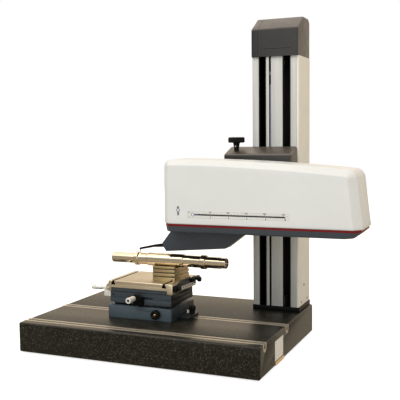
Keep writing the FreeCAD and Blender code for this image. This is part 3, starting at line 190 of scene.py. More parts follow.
bpy.context.scene.view_settings.view_transform = "Standard"
make_camera()
make_world()
make_floor()
area_light("key", (-0.5, -1.7, 2.6), (0.1, 0, 0.3), (2.2, 1.6), 20, (1.0, 0.96, 0.91))
area_light("front", (0.3, -3.4, 1.1), (0.1, 0, 0.35), (2.6, 2.0), 22, (0.97, 1.0, 0.99))

# Materials

usual_noise = (0.3, 0.7)
edge_likeness = (0.98, 0.80)
tone_start, tone_width = 0.32, 0.36
skin_depth = 0.8


class Paint(Nodes):
    """A Principled material with a few short calls for its nodes."""

    def __init__(self, name, colour, roughness, metallic=0.0, specular=0.5):
        self.material = bpy.data.materials.new(name)
        self.material.use_nodes = True
        super().__init__(self.material.node_tree)
        self.shader = self.tree.nodes["Principled BSDF"]
        for socket, value in (("Base Color", (*colour, 1)), ("Roughness", roughness), ("Metallic", metallic),
                              ("Specular IOR Level", specular)):
            self.shader.inputs[socket].default_value = value
        self.place = self.node("TexCoord").outputs["Object"]

    def texture(self, kind, stretch, **inputs):
        """A texture in object space. A stretch below 1 draws it out along that axis."""
        mapping = self.node("Mapping", {"Scale": stretch, "Vector": self.place})
        return self.node(kind, {"Vector": mapping, **inputs})

    def noise(self, scale, detail=3.0, stretch=(1, 1, 1)):
        return self.texture("TexNoise", stretch, Scale=scale, Detail=detail, Roughness=0.5).outputs["Fac"]

    def ramp(self, fac, stops):
        ramp = self.node("ValToRGB", {"Fac": fac})
        elements = ramp.color_ramp.elements
        while len(elements) < len(stops):
            elements.new(0.5)
        for element, (position, colour) in zip(elements, stops):
            element.position = position
            element.color = (*colour, 1)
        return ramp.outputs["Color"]

    def mapped(self, value, *limits):
        """Maps a value from one range, given first, to another."""
        names = ("From Min", "From Max", "To Min", "To Max")
        return self.node("MapRange", {"Value": value, **dict(zip(names, limits))}).outputs["Result"]

    def spread(self, fac, low, high):
        """Maps noise, which stays near the middle, to a range of numbers."""
        return self.mapped(fac, *usual_noise, low, high)

    def colour(self, socket):
        self.link(socket, self.shader.inputs["Base Color"])

    def tones(self, fac, *colours):
        """The base colour runs through these tones."""
        last = len(colours) - 1
        self.colour(self.ramp(fac, [(tone_start + tone_width * i / last, c) for i, c in enumerate(colours)]))

    def wear(self, colour, radius_mm=0.6, amount=0.6):
        """Lightens the base colour where an edge is sharp, partly as edge wear and partly as a painted highlight."""
        bevel = self.node("Bevel", {"Radius": radius_mm * MM}, samples=4)
        flat = self.node("NewGeometry").outputs["Normal"]
        likeness = self.node("VectorMath", {0: bevel, 1: flat}, operation="DOT_PRODUCT").outputs["Value"]
        edge = self.mapped(likeness, *edge_likeness, 0.0, amount)
        patchy = self.both(edge, self.spread(self.noise(160, 3), 0.4, 1.0))
        socket = self.shader.inputs["Base Color"]
        start = socket.links[0].from_socket if socket.links else tuple(socket.default_value)[:3]
        self.colour(self.blend(patchy, start, colour))

    def gloss(self, fac, low, high):
        self.link(self.spread(fac, low, high), self.shader.inputs["Roughness"])

    def bump(self, fac, depth_mm):
        bump = self.node("Bump", {"Strength": 1.0, "Distance": depth_mm * MM, "Height": fac})
        self.link(bump.outputs[0], self.shader.inputs["Normal"])

    def step(self, axis, edge_mm, above=True):
        """One past an edge along an axis, and nothing before it."""
        value = self.node("SeparateXYZ", {0: self.place}).outputs[axis]
        return self.node("Math", {0: value, 1: edge_mm * MM},
                         operation="GREATER_THAN" if above else "LESS_THAN").outputs[0]

    def both(self, first, second):
        return self.node("Math", {0: first, 1: second}, operation="MULTIPLY").outputs[0]


def shade(colour, amount):
    return tuple(min(max(c * amount, 0), 1) for c in colour)


def moulded(name, colour, roughness=0.45, grain=900, depth=0.02, specular=0.4, spread=0.08, edge_wear_highlight_colour=None,
            edge_wear_highlight_mm=0.6):
    """Painted metal or moulded plastic with a fine texture and sharp edges lightened, partly as wear and partly as a
    painted highlight.
    """
    paint = Paint(name, colour, roughness, specular=specular)
    paint.tones(paint.noise(14, 4), shade(colour, 1 - spread), colour, shade(colour, 1 + spread))
    paint.wear(edge_wear_highlight_colour or shade(colour, 1.5), edge_wear_highlight_mm)
    paint.gloss(paint.noise(45, 3), roughness * 0.85, roughness * 1.15)
    paint.bump(paint.noise(grain, 2), depth)
    return paint.material


def two_tone(name, colour, shaded_face_colour, axis, edge_mm, above, specular):
    """A dark moulding with painted shade: one of its faces, the part past an edge along an axis, is painted darker
    than the rest.
    """
    paint = Paint(name, colour, 0.42, specular=specular)
    patches = paint.noise(14, 4)
    outer, shaded_face = (paint.ramp(patches, [(0.32, shade(c, 0.92)), (0.68, shade(c, 1.08))])
                    for c in (colour, shaded_face_colour))
    # Painted shade: past the edge, on the front or side face, the colour is the darker shaded copy.
    paint.colour(paint.blend(paint.step(axis, edge_mm, above), outer, shaded_face))
    paint.wear(shade(colour, 1.6), 0.8)
    paint.gloss(paint.noise(45, 3), 0.36, 0.46)
    paint.bump(paint.noise(1100, 2), 0.025)
    return paint.material


def brushed(name, colour, roughness, stretch, scale=420, depth=0.006, spread=0.12, metallic=1.0):
    """Ground or brushed metal: fine lines drawn out along one axis."""
    paint = Paint(name, colour, roughness, metallic=metallic)
    lines = paint.noise(scale, 4, stretch)
    paint.tones(lines, shade(colour, 1 - spread), colour, shade(colour, 1 + spread))
    paint.wear(shade(colour, 1.25))
    paint.gloss(paint.noise(scale * 0.6, 3, stretch), roughness * 0.75, roughness * 1.3)
    paint.bump(lines, depth)
    return paint.material


def granite(name):
    paint = Paint(name, (0.02, 0.02, 0.018), 0.32, specular=0.20)
    fine = paint.texture("TexVoronoi", (1, 1, 1), Scale=420).outputs["Color"]
    flecks = paint.ramp(fine, [(0.25, (0.003, 0.003, 0.002)), (0.50, (0.006, 0.006, 0.004)),
                               (0.74, (0.026, 0.025, 0.016)), (0.93, (0.115, 0.108, 0.075))])
    clouds = paint.ramp(paint.noise(60, 5), [(0.35, (0.005, 0.005, 0.004)), (0.65, (0.017, 0.016, 0.012))])
    paint.colour(paint.blend(0.4, flecks, clouds))
    # Painted highlight: a brown-gold line along the plate's edges.
    paint.wear((0.26, 0.21, 0.13), 2.0, 0.8)
    paint.gloss(paint.noise(300, 4), 0.28, 0.40)
    paint.bump(paint.noise(520, 3), 0.012)
    return paint.material


def column_metal(name):
    """Satin anodised outside; inside the channel the colour is near black, painted shade."""
    low, high = span("column_profile")
    paint = Paint(name, (0.54, 0.55, 0.54), 0.45, metallic=0.25, specular=0.35)
    # Painted shade: all but the profile's outer skin is near black, as the deep channel lies in shade.
    channel_shade = paint.both(paint.step("X", low.x + 1.5), paint.step("X", high.x - 1.5, False))
    channel_shade = paint.both(channel_shade, paint.step("Y", low.y + 0.8))
    channel_shade = paint.both(channel_shade, paint.step("Y", high.y - 1.0, False))
    lines = paint.noise(500, 4, (1, 1, 0.02))
    outer = paint.ramp(lines, [(0.32, (0.50, 0.51, 0.50)), (0.5, (0.54, 0.55, 0.54)), (0.68, (0.58, 0.59, 0.58))])
    paint.colour(paint.blend(channel_shade, outer, (0.006, 0.005, 0.005)))
    paint.gloss(paint.noise(200, 3, (1, 1, 0.05)), 0.36, 0.50)
    paint.bump(lines, 0.004)
    return paint.material


def window_print(name):
    """A clear printed strip, a touch lighter than the cover."""
    paint = Paint(name, (0.74, 0.76, 0.75), 0.22)
    paint.tones(paint.noise(30, 3), (0.73, 0.75, 0.74), (0.77, 0.79, 0.78))
    paint.gloss(paint.noise(60, 2), 0.18, 0.28)
    return paint.material


def clear_glass(name):
    paint = Paint(name, (0.85, 0.93, 0.93), 0.05)
    paint.shader.inputs["Transmission Weight"].default_value = 0.8
    paint.tones(paint.noise(40, 2), (0.80, 0.90, 0.90), (0.90, 0.96, 0.96))
    return paint.material


along_x, along_y, along_z = (0.03, 1, 1), (1, 0.03, 1), (1, 1, 0.03)
cap_front = span("column_cap")[0].y + skin_depth
carriage_front = span("carriage_cover")[0].y + skin_depth
table_side = span("tilt_block")[1].x - skin_depth
recipes = {
    granite: {"granite": ()},
    column_metal: {"column_aluminium": ()},
    window_print: {"window_plastic": ()},
    clear_glass: {"scale_glass": ()},
    brushed: {
        "rail_steel": ((0.42, 0.38, 0.31), 0.34, along_x, 420, 0.006, 0.12, 0.55),
        "machined_aluminium": ((0.60, 0.60, 0.60), 0.35, along_x),
        "guide_steel": ((0.45, 0.45, 0.46), 0.30, along_z),
        "brass_nut": ((0.80, 0.60, 0.28), 0.25, along_x),
        "ground_steel": ((0.56, 0.50, 0.39), 0.34, along_x),
        "thimble_chrome": ((0.78, 0.77, 0.74), 0.30, along_y),
        "v_block_steel": ((0.44, 0.35, 0.20), 0.36, along_x),
        "polished_shaft": ((0.56, 0.49, 0.38), 0.09, (1, 0.2, 0.2), 300, 0.0015, 0.06),
        "pale_metal": ((0.80, 0.80, 0.77), 0.38, along_z, 420, 0.006, 0.12, 0.4),
    },
    two_tone: {
        # Painted shade: each of these is painted darker on its front or right face.
        "cap_plastic": ((0.042, 0.037, 0.034), (0.006, 0.005, 0.006), "Y", cap_front, False, 0.55),
        "carriage_paint": ((0.066, 0.054, 0.045), (0.002, 0.002, 0.0015), "Y", carriage_front, False, 0.65),
        "table_paint": ((0.043, 0.058, 0.072), (0.012, 0.014, 0.018), "X", table_side, True, 0.25),
        "base_paint": ((0.066, 0.092, 0.112), (0.026, 0.036, 0.046), "X", table_side, True, 0.25),
    },
    moulded: {
        "rubber": ((0.010, 0.010, 0.010), 0.8, 900, 0.02, 0.15),
        "black_steel": ((0.004, 0.004, 0.004), 0.42, 700, 0.01, 0.10),
        "side_panel": ((0.86, 0.83, 0.75), 0.50, 1200, 0.015, 0.3, 0.03),
        "dark_plastic": ((0.004, 0.004, 0.004), 0.45, 900, 0.015, 0.12),
        "white_cover": ((0.76, 0.78, 0.79), 0.38, 1500, 0.006, 0.4, 0.015, (0.88, 0.86, 0.84)),
        "red_trim": ((0.19, 0.003, 0.005), 0.35, 900, 0.01, 0.2),
        "slate_pan": ((0.046, 0.057, 0.072), 0.45, 1100, 0.02, 0.3, 0.05, (0.16, 0.17, 0.19)),
        "black_arm": ((0.005, 0.005, 0.005), 0.38, 900, 0.01, 0.2),
        "printed_black": ((0.012, 0.012, 0.013), 0.35, 1500, 0.003),
        "printed_grey": ((0.42, 0.43, 0.42), 0.35, 1500, 0.003),
        "printed_blue": ((0.03, 0.09, 0.22), 0.35, 1500, 0.003),
        "printed_white": ((0.86, 0.85, 0.82), 0.35, 1500, 0.003, 0.4, 0.02),
        # Painted shade: the colour of the V-block's groove linings.
        "groove_brown": ((0.075, 0.060, 0.036), 0.45, 900, 0.01),
        "fence_grey": ((0.060, 0.063, 0.050), 0.42, 900, 0.01, 0.3),
        "rod_blue": ((0.16, 0.17, 0.26), 0.30, 1200, 0.006),
        # Painted highlight: a light colour along the hull's wide bevelled edges.
        "keel_paint": ((0.046, 0.057, 0.072), 0.40, 1100, 0.02, 0.3, 0.05, (0.17, 0.19, 0.21), 2.4),
    },
}
finish = {name: make(name, *values) for make, rows in recipes.items() for name, values in rows.items()}
own_finish = {"left_micrometer": "pale_metal", "tilt_pad": "black_steel", "table_base": "base_paint",
              "v_block": "v_block_steel"}
node_slots = {row["node"]: row["material_slot"] for row in frame["record"]["subparts"]}
for node_name, node_object in nodes.items():
    node_object.data.materials.clear()
    node_object.data.materials.append(finish[own_finish.get(node_name, node_slots[node_name])])


# Shapes

def add_piece(name, bm, body, slot, look=None, smooth=35):
    """Turns a bmesh in metres into a piece that rides on a body. Its look is its slot's unless named."""
    mesh = bpy.data.meshes.new(name)
    bmesh.ops.recalc_face_normals(bm, faces=bm.faces)
    bm.to_mesh(mesh)
    bm.free()
    mesh.shade_smooth()
    mesh.set_sharp_from_angle(angle=math.radians(smooth))
    mesh.materials.append(finish[look or slot])
    made = bpy.data.objects.new(name, mesh)
    bpy.context.scene.collection.objects.link(made)
    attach(made, body)
    return made


def body_of_node(node):
    for body, members in frame["record"]["behaviour"]["bodies"].items():
        if node in members:
            return body


def bevel_edges(bm, radius, segments=2, least_angle=35, pick=None):
    """Rounds the edges that are sharper than an angle, or those of them that a test picks."""
    edges = [e for e in bm.edges if len(e.link_faces) == 2
             and e.calc_face_angle(0) > math.radians(least_angle) and (pick is None or pick(e))]
    bmesh.ops.bevel(bm, geom=edges, offset=radius, segments=segments, profile=0.5, affect="EDGES",
                    clamp_overlap=True)


def cad_mesh(node):
    """A CAD solid as a bmesh in metres with whole faces."""
    bm = bmesh.new()
    bm.from_mesh(nodes[node].data)
    bmesh.ops.remove_doubles(bm, verts=bm.verts, dist=2e-6)
    bmesh.ops.dissolve_limit(bm, angle_limit=math.radians(0.5), verts=bm.verts, edges=bm.edges)
    return bm


def softened(node, radius):
    """The CAD solid with fine round edges, as a piece that stands for the node."""
    bm = cad_mesh(node)
    bevel_edges(bm, radius * MM)
    made = add_piece(node + "_soft", bm, body_of_node(node), node_slots[node], own_finish.get(node))
    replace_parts(made, node)


def place_on(axis, along, a, b):
    """A point from its place along an axis and its two other coordinates in order."""
    return {"x": Vector((along, a, b)), "y": Vector((a, along, b)), "z": Vector((a, b, along))}[axis]


def bridge(part, first, second):
    """Faces between two closed rings of vertices, or between a ring and a single vertex."""
    count = max(len(first), len(second))
    for k in range(count if count > 1 else 0):
        j = (k + 1) % count
        if len(first) == 1:
            corners = (first[0], second[j], second[k])
        elif len(second) == 1:
            corners = (first[k], first[j], second[0])
        else:
            corners = (first[k], first[j], second[j], second[k])
        part.faces.new(corners)


def loft(part, rings):
    """Joins rings of equal length, each a list of points, and returns their vertices."""
    made = [[part.verts.new(point) for point in ring] for ring in rings]
    for first, second in zip(made, made[1:]):
        bridge(part, first, second)
    return made


class Shape:
    """A piece's mesh, put together from worked forms. Its lengths are in millimetres."""

    def __init__(self):
        self.bm = bmesh.new()

    def take(self, part, edge=0.0, segments=2, pick=None):
        """Adds a form, with its sharp edges rounded."""
        if edge:
            bevel_edges(part, edge, segments, 30, pick)
        mesh = bpy.data.meshes.new("form")
        part.to_mesh(mesh)
        part.free()
        self.bm.from_mesh(mesh)
        bpy.data.meshes.remove(mesh)
        return self

    def box(self, x0, x1, y0, y1, z0, z1, edge=0.3, segments=2):
        part = bmesh.new()
        bmesh.ops.create_cube(part, size=1)
        for vert in part.verts:
            vert.co.x = x0 if vert.co.x < 0 else x1
            vert.co.y = y0 if vert.co.y < 0 else y1
            vert.co.z = z0 if vert.co.z < 0 else z1
        return self.take(part, edge, segments)

    def prism(self, points, axis, start, end, edge=0.0, segments=2, pick=None):
        """An outline pulled along an axis."""
        part = bmesh.new()
        rings = [[part.verts.new(place_on(axis, along, a, b)) for a, b in points] for along in (start, end)]
        part.faces.new(rings[0])
        part.faces.new(rings[1])
        bridge(part, *rings)
        bmesh.ops.recalc_face_normals(part, faces=part.faces)
        return self.take(part, edge, segments, pick)

    def turned(self, axis, centre, profile, steps=64, teeth=0):
        """A turned form. An entry of the profile is a place along the axis, a radius and a tooth depth."""
        part = bmesh.new()
        rings = []
        for along, radius, *depth in profile:
            if radius <= 0:
                rings.append([part.verts.new(place_on(axis, along, *centre))])
                continue
            ring = []
            for k in range(steps):
                angle = 2 * math.pi * k / steps
                reach = radius - sum(depth) * (0.5 - 0.5 * math.cos(teeth * angle))
                a, b = centre[0] + reach * math.cos(angle), centre[1] + reach * math.sin(angle)
                ring.append(part.verts.new(place_on(axis, along, a, b)))
            rings.append(ring)
        for first, second in zip(rings, rings[1:]):
            bridge(part, first, second)
        for ring in (rings[0], rings[-1]):
            if len(ring) > 1:
                part.faces.new(ring)
        bmesh.ops.recalc_face_normals(part, faces=part.faces)
        return self.take(part)

    def screw(self, axis, centre, face, way, radius, height, sink=0.5):
        """A socket screw's head on a face, with a six-sided hole. It stands out along the way, 1 or -1."""
        hole = radius * 0.5
        mouth = hole * 1.08
        rim = radius * 0.12
        top = face + way * height
        self.turned(axis, centre, [(face, radius), (top - way * rim, radius), (top, radius - rim), (top, mouth)], 32)
        part = bmesh.new()
        rings = loft(part, [[place_on(axis, along, centre[0] + reach * math.cos(math.pi * k / 3),
                                      centre[1] + reach * math.sin(math.pi * k / 3)) for k in range(6)]
                            for along, reach in ((top, mouth), (top - way * height * sink, hole))])
        part.faces.new(rings[1])
        return self.take(part)

    def piece(self, name, body, slot, replaces=(), look=None, smooth=35):
        bmesh.ops.scale(self.bm, vec=(MM, MM, MM), verts=self.bm.verts)
        made = add_piece(name, self.bm, body, slot, look, smooth)
        if replaces:
            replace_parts(made, *replaces)


def shifted(base, *entries):
    """Entries of a turned form's profile, with their places measured from a base."""
    return [(base + entry[0], *entry[1:]) for entry in entries]


def arc_points(centre, radius, start, end, steps):
    """Points on an arc, with its angles in degrees."""
    angles = [math.radians(start + (end - start) * k / steps) for k in range(steps + 1)]
    return [(centre[0] + radius * math.cos(a), centre[1] + radius * math.sin(a)) for a in angles]


def quarter(radius, steps):
    """A quarter of a circle, as how far each point has pulled in and how far it still has to go."""
    angles = [math.pi / 2 * k / steps for k in range(steps + 1)]
    return [(radius * (1 - math.cos(a)), radius * (1 - math.sin(a))) for a in angles]


def rounded_corner(before, corner, after, radius, steps):
    """Points of an arc that rounds a corner between two straight runs."""
    c = Vector(corner)
    u = (Vector(before) - c).normalized()
    v = (Vector(after) - c).normalized()
    half = u.angle(v) / 2
    reach = radius / math.tan(half)
    centre = c + (u + v).normalized() * (radius / math.sin(half))
    start, end = c + u * reach, c + v * reach
    a0 = math.atan2(start.y - centre.y, start.x - centre.x)
    a1 = math.atan2(end.y - centre.y, end.x - centre.x)
    sweep = (a1 - a0 + math.pi) % (2 * math.pi) - math.pi
    angles = [a0 + sweep * k / steps for k in range(steps + 1)]
    return [(centre.x + radius * math.cos(a), centre.y + radius * math.sin(a)) for a in angles]


def plan_loop(x0, x1, y0, y1, radii, steps=8):
    """A rectangle seen from above with a radius for each corner, front left first, then front right."""
    corners = ((x0, y0, 1, 1, 180), (x1, y0, -1, 1, 270), (x1, y1, -1, -1, 0), (x0, y1, 1, -1, 90))
    out = []
    for (x, y, way_x, way_y, start), radius in zip(corners, radii):
        out += arc_points((x + way_x * radius, y + way_y * radius), radius, start, start + 90, steps)
    return out


def label(name, text, x, z, height):
    """Small raised figures on the drive unit's front. The place is the middle of their base line."""
    curve = bpy.data.curves.new(name, "FONT")
    curve.body = text
    curve.size = height * figure_size * MM
    curve.extrude = figure_raise * MM
    curve.offset = figure_bold * MM
    curve.align_x = "CENTER"
    holder = bpy.data.objects.new(name + "_text", curve)
    mesh = bpy.data.meshes.new_from_object(holder)
    bpy.data.objects.remove(holder)
    mesh.transform(Matrix.Rotation(math.radians(90), 4, "X"))
    mesh.transform(Matrix.Translation(V(x, scale_front + figure_raise, z)))
    bm = bmesh.new()
    bm.from_mesh(mesh)
    bpy.data.meshes.remove(mesh)
    add_piece(name, bm, "drive_unit", "dark_plastic", "printed_black")


# Drive unit

unit_low, unit_high = span("drive_cover")
unit_left, unit_front, unit_bottom = unit_low
unit_right, unit_back, unit_top = unit_high
cover_lean_left, cover_lean_right = 2.0, 18.0
cover_end_drop = 23.5
cover_crown = 5.25
cover_crest_shift = -10.0
cover_corner_left, cover_corner_right = 20.0, 27.0
cover_wall = 3.0
cover_roll = 4.0
cover_end_steps, cover_left_steps, cover_top_steps, cover_right_steps = 8, 12, 28, 14
trim_inset = 3.6
rim_left, rim_top_left, rim_top_right, rim_right, rim_back = 17.0, 14.0, 17.0, 20.0, 2.5


def crown_height(x):
    """The height of the cover's arched top line."""
    left = (unit_left + cover_lean_left + cover_corner_left, unit_top)
    right = (unit_right - cover_lean_right - cover_corner_right, unit_top - cover_end_drop)
    mid_x = (unit_left + unit_right) / 2 + cover_crest_shift
    mid = (mid_x, (left[1] + right[1]) / 2 + cover_crown)
    total = 0.0
    for a, b, c in ((left, mid, right), (mid, left, right), (right, left, mid)):
        total += a[1] * (x - b[0]) * (x - c[0]) / ((a[0] - b[0]) * (a[0] - c[0]))
    return min(total, unit_top)


def between(a, b, share):
    return tuple(p + (q - p) * share for p, q in zip(a, b))


def cover_path():
    """The cover's outline seen from the front, bottom left to bottom right, with a rim radius each."""
    left_x = unit_left + cover_lean_left + cover_corner_left
    right_edge_x = unit_right - cover_lean_right
    right_x = right_edge_x - cover_corner_right
    top = [(left_x + (right_x - left_x) * k / cover_top_steps) for k in range(cover_top_steps + 1)]
    top = [(x, crown_height(x)) for x in top]
    left_low, right_low = (unit_left, unit_bottom), (unit_right, unit_bottom)
    left_top = (unit_left + cover_lean_left, unit_top)
    slope = (top[-1][1] - top[-2][1]) / (top[-1][0] - top[-2][0])
    right_top = (right_edge_x, top[-1][1] + slope * (right_edge_x - top[-1][0]))
    first = rounded_corner(left_low, left_top, top[0], cover_corner_left, cover_left_steps)
    last = rounded_corner(top[-1], right_top, right_low, cover_corner_right, cover_right_steps)
    path = [(*between(left_low, first[0], k / cover_end_steps), rim_left) for k in range(cover_end_steps)]
    path += [(x, z, rim_left + (rim_top_left - rim_left) * k / cover_left_steps)
             for k, (x, z) in enumerate(first)]
    path += [(x, z, rim_top_left + (rim_top_right - rim_top_left) * ((x - left_x) / (right_x - left_x)))
             for x, z in top if first[-1][0] + 1 < x < last[0][0] - 1]
    path += [(x, z, rim_top_right + (rim_right - rim_top_right) * k / cover_right_steps)
             for k, (x, z) in enumerate(last)]
    return path + [(*between(last[-1], right_low, k / cover_end_steps), rim_right)
                   for k in range(1, cover_end_steps + 1)]


def outward(path, i):
    """The outline's direction to the outside at one of its points, in the x and z plane."""
    a = path[max(i - 1, 0)]
    b = path[min(i + 1, len(path) - 1)]
    way = Vector((b[0] - a[0], b[1] - a[1])).normalized()
    normal = Vector((-way.y, way.x))
    return Vector((math.copysign(1, normal.x), 0)) if i in (0, len(path) - 1) else normal


def rim_profile(rim, small, steps=4):
    """How far the rim pulls in and how deep it lies, from the front face to the side."""
    reach = small * math.tan(math.radians(22.5))
    angles = [math.radians(45 * k / steps) for k in range(steps + 1)]
    out = [(rim + reach - small * math.sin(a), small * (1 - math.cos(a))) for a in angles]
    return out + [(depth, pull) for pull, depth in reversed(out)]


def side_profile(rim, front, back):
    """The rim, the side and the bevel behind as pulls from the side and places along Y."""
    out = [(pull, front + depth) for pull, depth in rim_profile(rim, min(5.0, 0.4 * rim))]
    return out + [(pull, back - rest) for pull, rest in quarter(rim_back, 3)]


def plan_ring(pull, z, wall=0.0, left=0.0, right=0.0, long=0.0):
    """One level of the cover, the trim or the tray, pulled in all round and more at its ends and sides."""
    x0, x1 = unit_left + pull + left, unit_right - pull - right
    y0, y1 = unit_front + pull + long, unit_back - pull - long
    ends = [side_profile(max(rim - wall, 1.0), y0, y1) for rim in (rim_left, rim_right)]
    return [(x0 + p, y, z) for p, y in ends[0]] + [(x1 - p, y, z) for p, y in reversed(ends[1])]


def cover_skin(part, inset):
    """One skin of the cover: a front face, its rim, the sides and the back."""
    path = cover_path()
    rows = []
    for i, (x, z, rim) in enumerate(path):
        normal = outward(path, i)
        row = []
        for pull, y in side_profile(max(rim - inset, 1.0), unit_front + inset, unit_back - inset):
            level = max(z - normal.y * (inset + pull), unit_bottom + cover_roll)
            row.append(part.verts.new((x - normal.x * (inset + pull), y, level)))
        rows.append(row)
    for first, second in zip(rows, rows[1:]):
        for k in range(len(first) - 1):
            part.faces.new((first[k], first[k + 1], second[k + 1], second[k]))
    part.faces.new([row[0] for row in rows])
    part.faces.new([row[-1] for row in rows])


def make_cover():
    """A thin shell, open below, whose lower edge rolls in towards the trim."""
    part = bmesh.new()
    for inset in (0, cover_wall):
        cover_skin(part, inset)
    levels = [(pull, rise, 0.0) for pull, rise in quarter(cover_roll, 5)]
    levels += [(cover_roll + 1.5, 0.0, 0.0), (cover_wall, cover_roll, cover_wall)]
    loft(part, [plan_ring(pull, unit_bottom + rise, wall) for pull, rise, wall in levels])
    bmesh.ops.remove_doubles(part, verts=part.verts, dist=0.02)
    Shape().take(part).piece("cover_shell", "drive_unit", "white_cover", ["drive_cover"], smooth=25)


def make_trim():
    """The coloured band, set back under the cover's rolled edge."""
    low, high = span("trim_frame")
    part = bmesh.new()
    levels = ((0.4, low.z + 0.2), (0.0, low.z + 0.6), (0.0, high.z - 0.8), (0.4, high.z - 0.4),
              (5.0, high.z - 0.4), (5.0, low.z + 0.2), (0.4, low.z + 0.2))
    loft(part, [plan_ring(trim_inset + inset, z, 3.0) for inset, z in levels])
    bmesh.ops.remove_doubles(part, verts=part.verts, dist=0.001)
    Shape().take(part).piece("trim_band", "drive_unit", "red_trim", ["trim_frame"], smooth=25)


def make_pan():
    """The tray under the drive unit, open above, with the slot for the traverse in its floor."""
    low, high = span("drive_pan")
    slot_left = span("traverse_slide")[0].x
    slot = (slot_left + 8.0, slot_left + 356.0, -47.0, -13.0)
    lean_left, lean_right, lean_long = 3.0, 20.0, 0.8
    gap, wall, edge = 0.3, 3.5, 4.0
    depth = high.z - low.z
    part = bmesh.new()
    skins = []
    for skin, floor in ((0.0, depth), (wall, depth - wall)):
        levels = [(0.0, 0.0), (floor - edge, 0.0)]
        levels += [(floor - rest, pull) for pull, rest in quarter(edge, 5)[1:]]
        rings = []
        for drop, pull in levels:
            share = drop / depth
            rings.append(plan_ring(trim_inset + gap + skin + pull, high.z - drop, skin + 3.0,
                                   lean_left * share, lean_right * share, lean_long * share))
        skins.append(loft(part, rings))
    bridge(part, skins[0][0], skins[1][0])
    floors = []
    for skin, z in zip(skins, (low.z, low.z + wall)):
        hole = [part.verts.new((x, y, z)) for x, y in plan_loop(*slot, (4, 4, 4, 4), 4)]
        floors.append(hole)
        edges = []
        for ring in (skin[-1], hole):
            for pair in zip(ring, ring[1:] + ring[:1]):
                edges.append(part.edges.get(pair) or part.edges.new(pair))
        bmesh.ops.triangle_fill(part, use_beauty=True, use_dissolve=False, edges=edges)
    bridge(part, *floors)
    Shape().take(part).piece("pan_tray", "drive_unit", "slate_pan", ["drive_pan"], smooth=30)


inch = 25.4
scale_zero_x, scale_end = 117.5, 255
scale_line_z, scale_half = 385.5, 1.8
scale_front = unit_front - 0.30
pointer = (75.0, 396.0)
figure_size, figure_raise, figure_bold = 1.35, 0.05, 0.10


def make_scale():
    """The printed strip: a clear label, a dark line, two rows of ticks, their figures and a pointer mark."""
    low, high = span("scale_window")
    face, front, zero, line, half = unit_front, scale_front, scale_zero_x, scale_line_z, scale_half
    margin, tick_half = 0.3, 0.42
    outline = plan_loop(low.x + margin, high.x - margin, low.z + margin, high.z - margin, (2, 2, 2, 2), 5)
    plate = Shape().prism(outline, "y", face - 0.22, face + 0.8, 0.12, 1)
    plate.piece("scale_label", "drive_unit", "window_plastic", ["scale_window"])
    border = Shape()
    x0, x1, z0, z1 = low.x + 0.6, high.x - 0.6, low.z + 0.6, high.z - 0.6
    for a, b, c, d in ((x0, x1, z0, z0 + 0.5), (x0, x1, z1 - 0.5, z1), (x0, x0 + 0.5, z0, z1),
                       (x1 - 0.5, x1, z0, z1)):
        border.box(a, b, face - 0.27, face, c, d, 0)
    border.piece("scale_border", "drive_unit", "window_plastic", look="printed_grey")
    ticks = Shape().box(zero + 14, zero + scale_end, front, face, line - half, line + half, 0)
    for value in range(0, 261, 5):
        x = zero + value
        tall = 2.6 if value % 50 == 0 else (1.9 if value % 10 == 0 else 1.2)
        ticks.box(x - tick_half, x + tick_half, front, face, line + half, line + 2.4 + tall, 0)
    for value in range(0, 41):
        x = zero + value * inch / 4
        tall = 2.4 if value % 8 == 0 else (1.7 if value % 4 == 0 else 1.0)
        ticks.box(x - tick_half, x + tick_half, front, face, line - 2.4 - tall, line - half, 0)
    ticks.piece("scale_ticks", "drive_unit", "dark_plastic", look="printed_black")
    start = Shape().box(zero + 2, zero + 14, front, face, line - half, line + half, 0)
    start.turned("y", pointer, [(front, 4.8), (face, 4.8)], 32)
    start.turned("y", (zero, line), [(front, 4.4), (face, 4.4)], 32)
    start.piece("scale_start", "drive_unit", "window_plastic", look="printed_blue")
    dots = Shape().turned("y", (zero + 0.4, line), [(front - 0.08, 3.3), (face, 3.3)], 32)
    dots.turned("y", pointer, [(front - 0.08, 3.0), (face, 3.0)], 32)
    dots.piece("scale_dots", "drive_unit", "window_plastic", look="printed_white")
    marks = Shape()
    for z in (405.6, 402.6, 389.4, 386.4, 383.4):
        reach = 3.2 if z in (402.6, 386.4) else 2.4
        marks.box(pointer[0] - reach, pointer[0] + reach, front, face, z - 0.9, z + 0.9, 0)
    for z0, z1 in ((399.4, 405.6), (383.4, 392.4)):
        marks.box(pointer[0] - 0.5, pointer[0] + 0.5, front, face, z0, z1, 0)
    marks.piece("height_marks", "drive_unit", "dark_plastic", look="printed_black")
    upper, lower = 390.6, 377.3
    for value in range(50, 251, 50):
        label("scale_mm_%d" % value, str(value), zero + value, upper, 4.2)
    for value in range(2, 11, 2):
        label("scale_in_%d" % value, str(value), zero + value * inch, lower, 4.2)
    for unit, z in (("mm", upper), ("in", lower)):
        label("scale_unit_" + unit, unit, 107.6, z, 2.7)


# Column and carriage

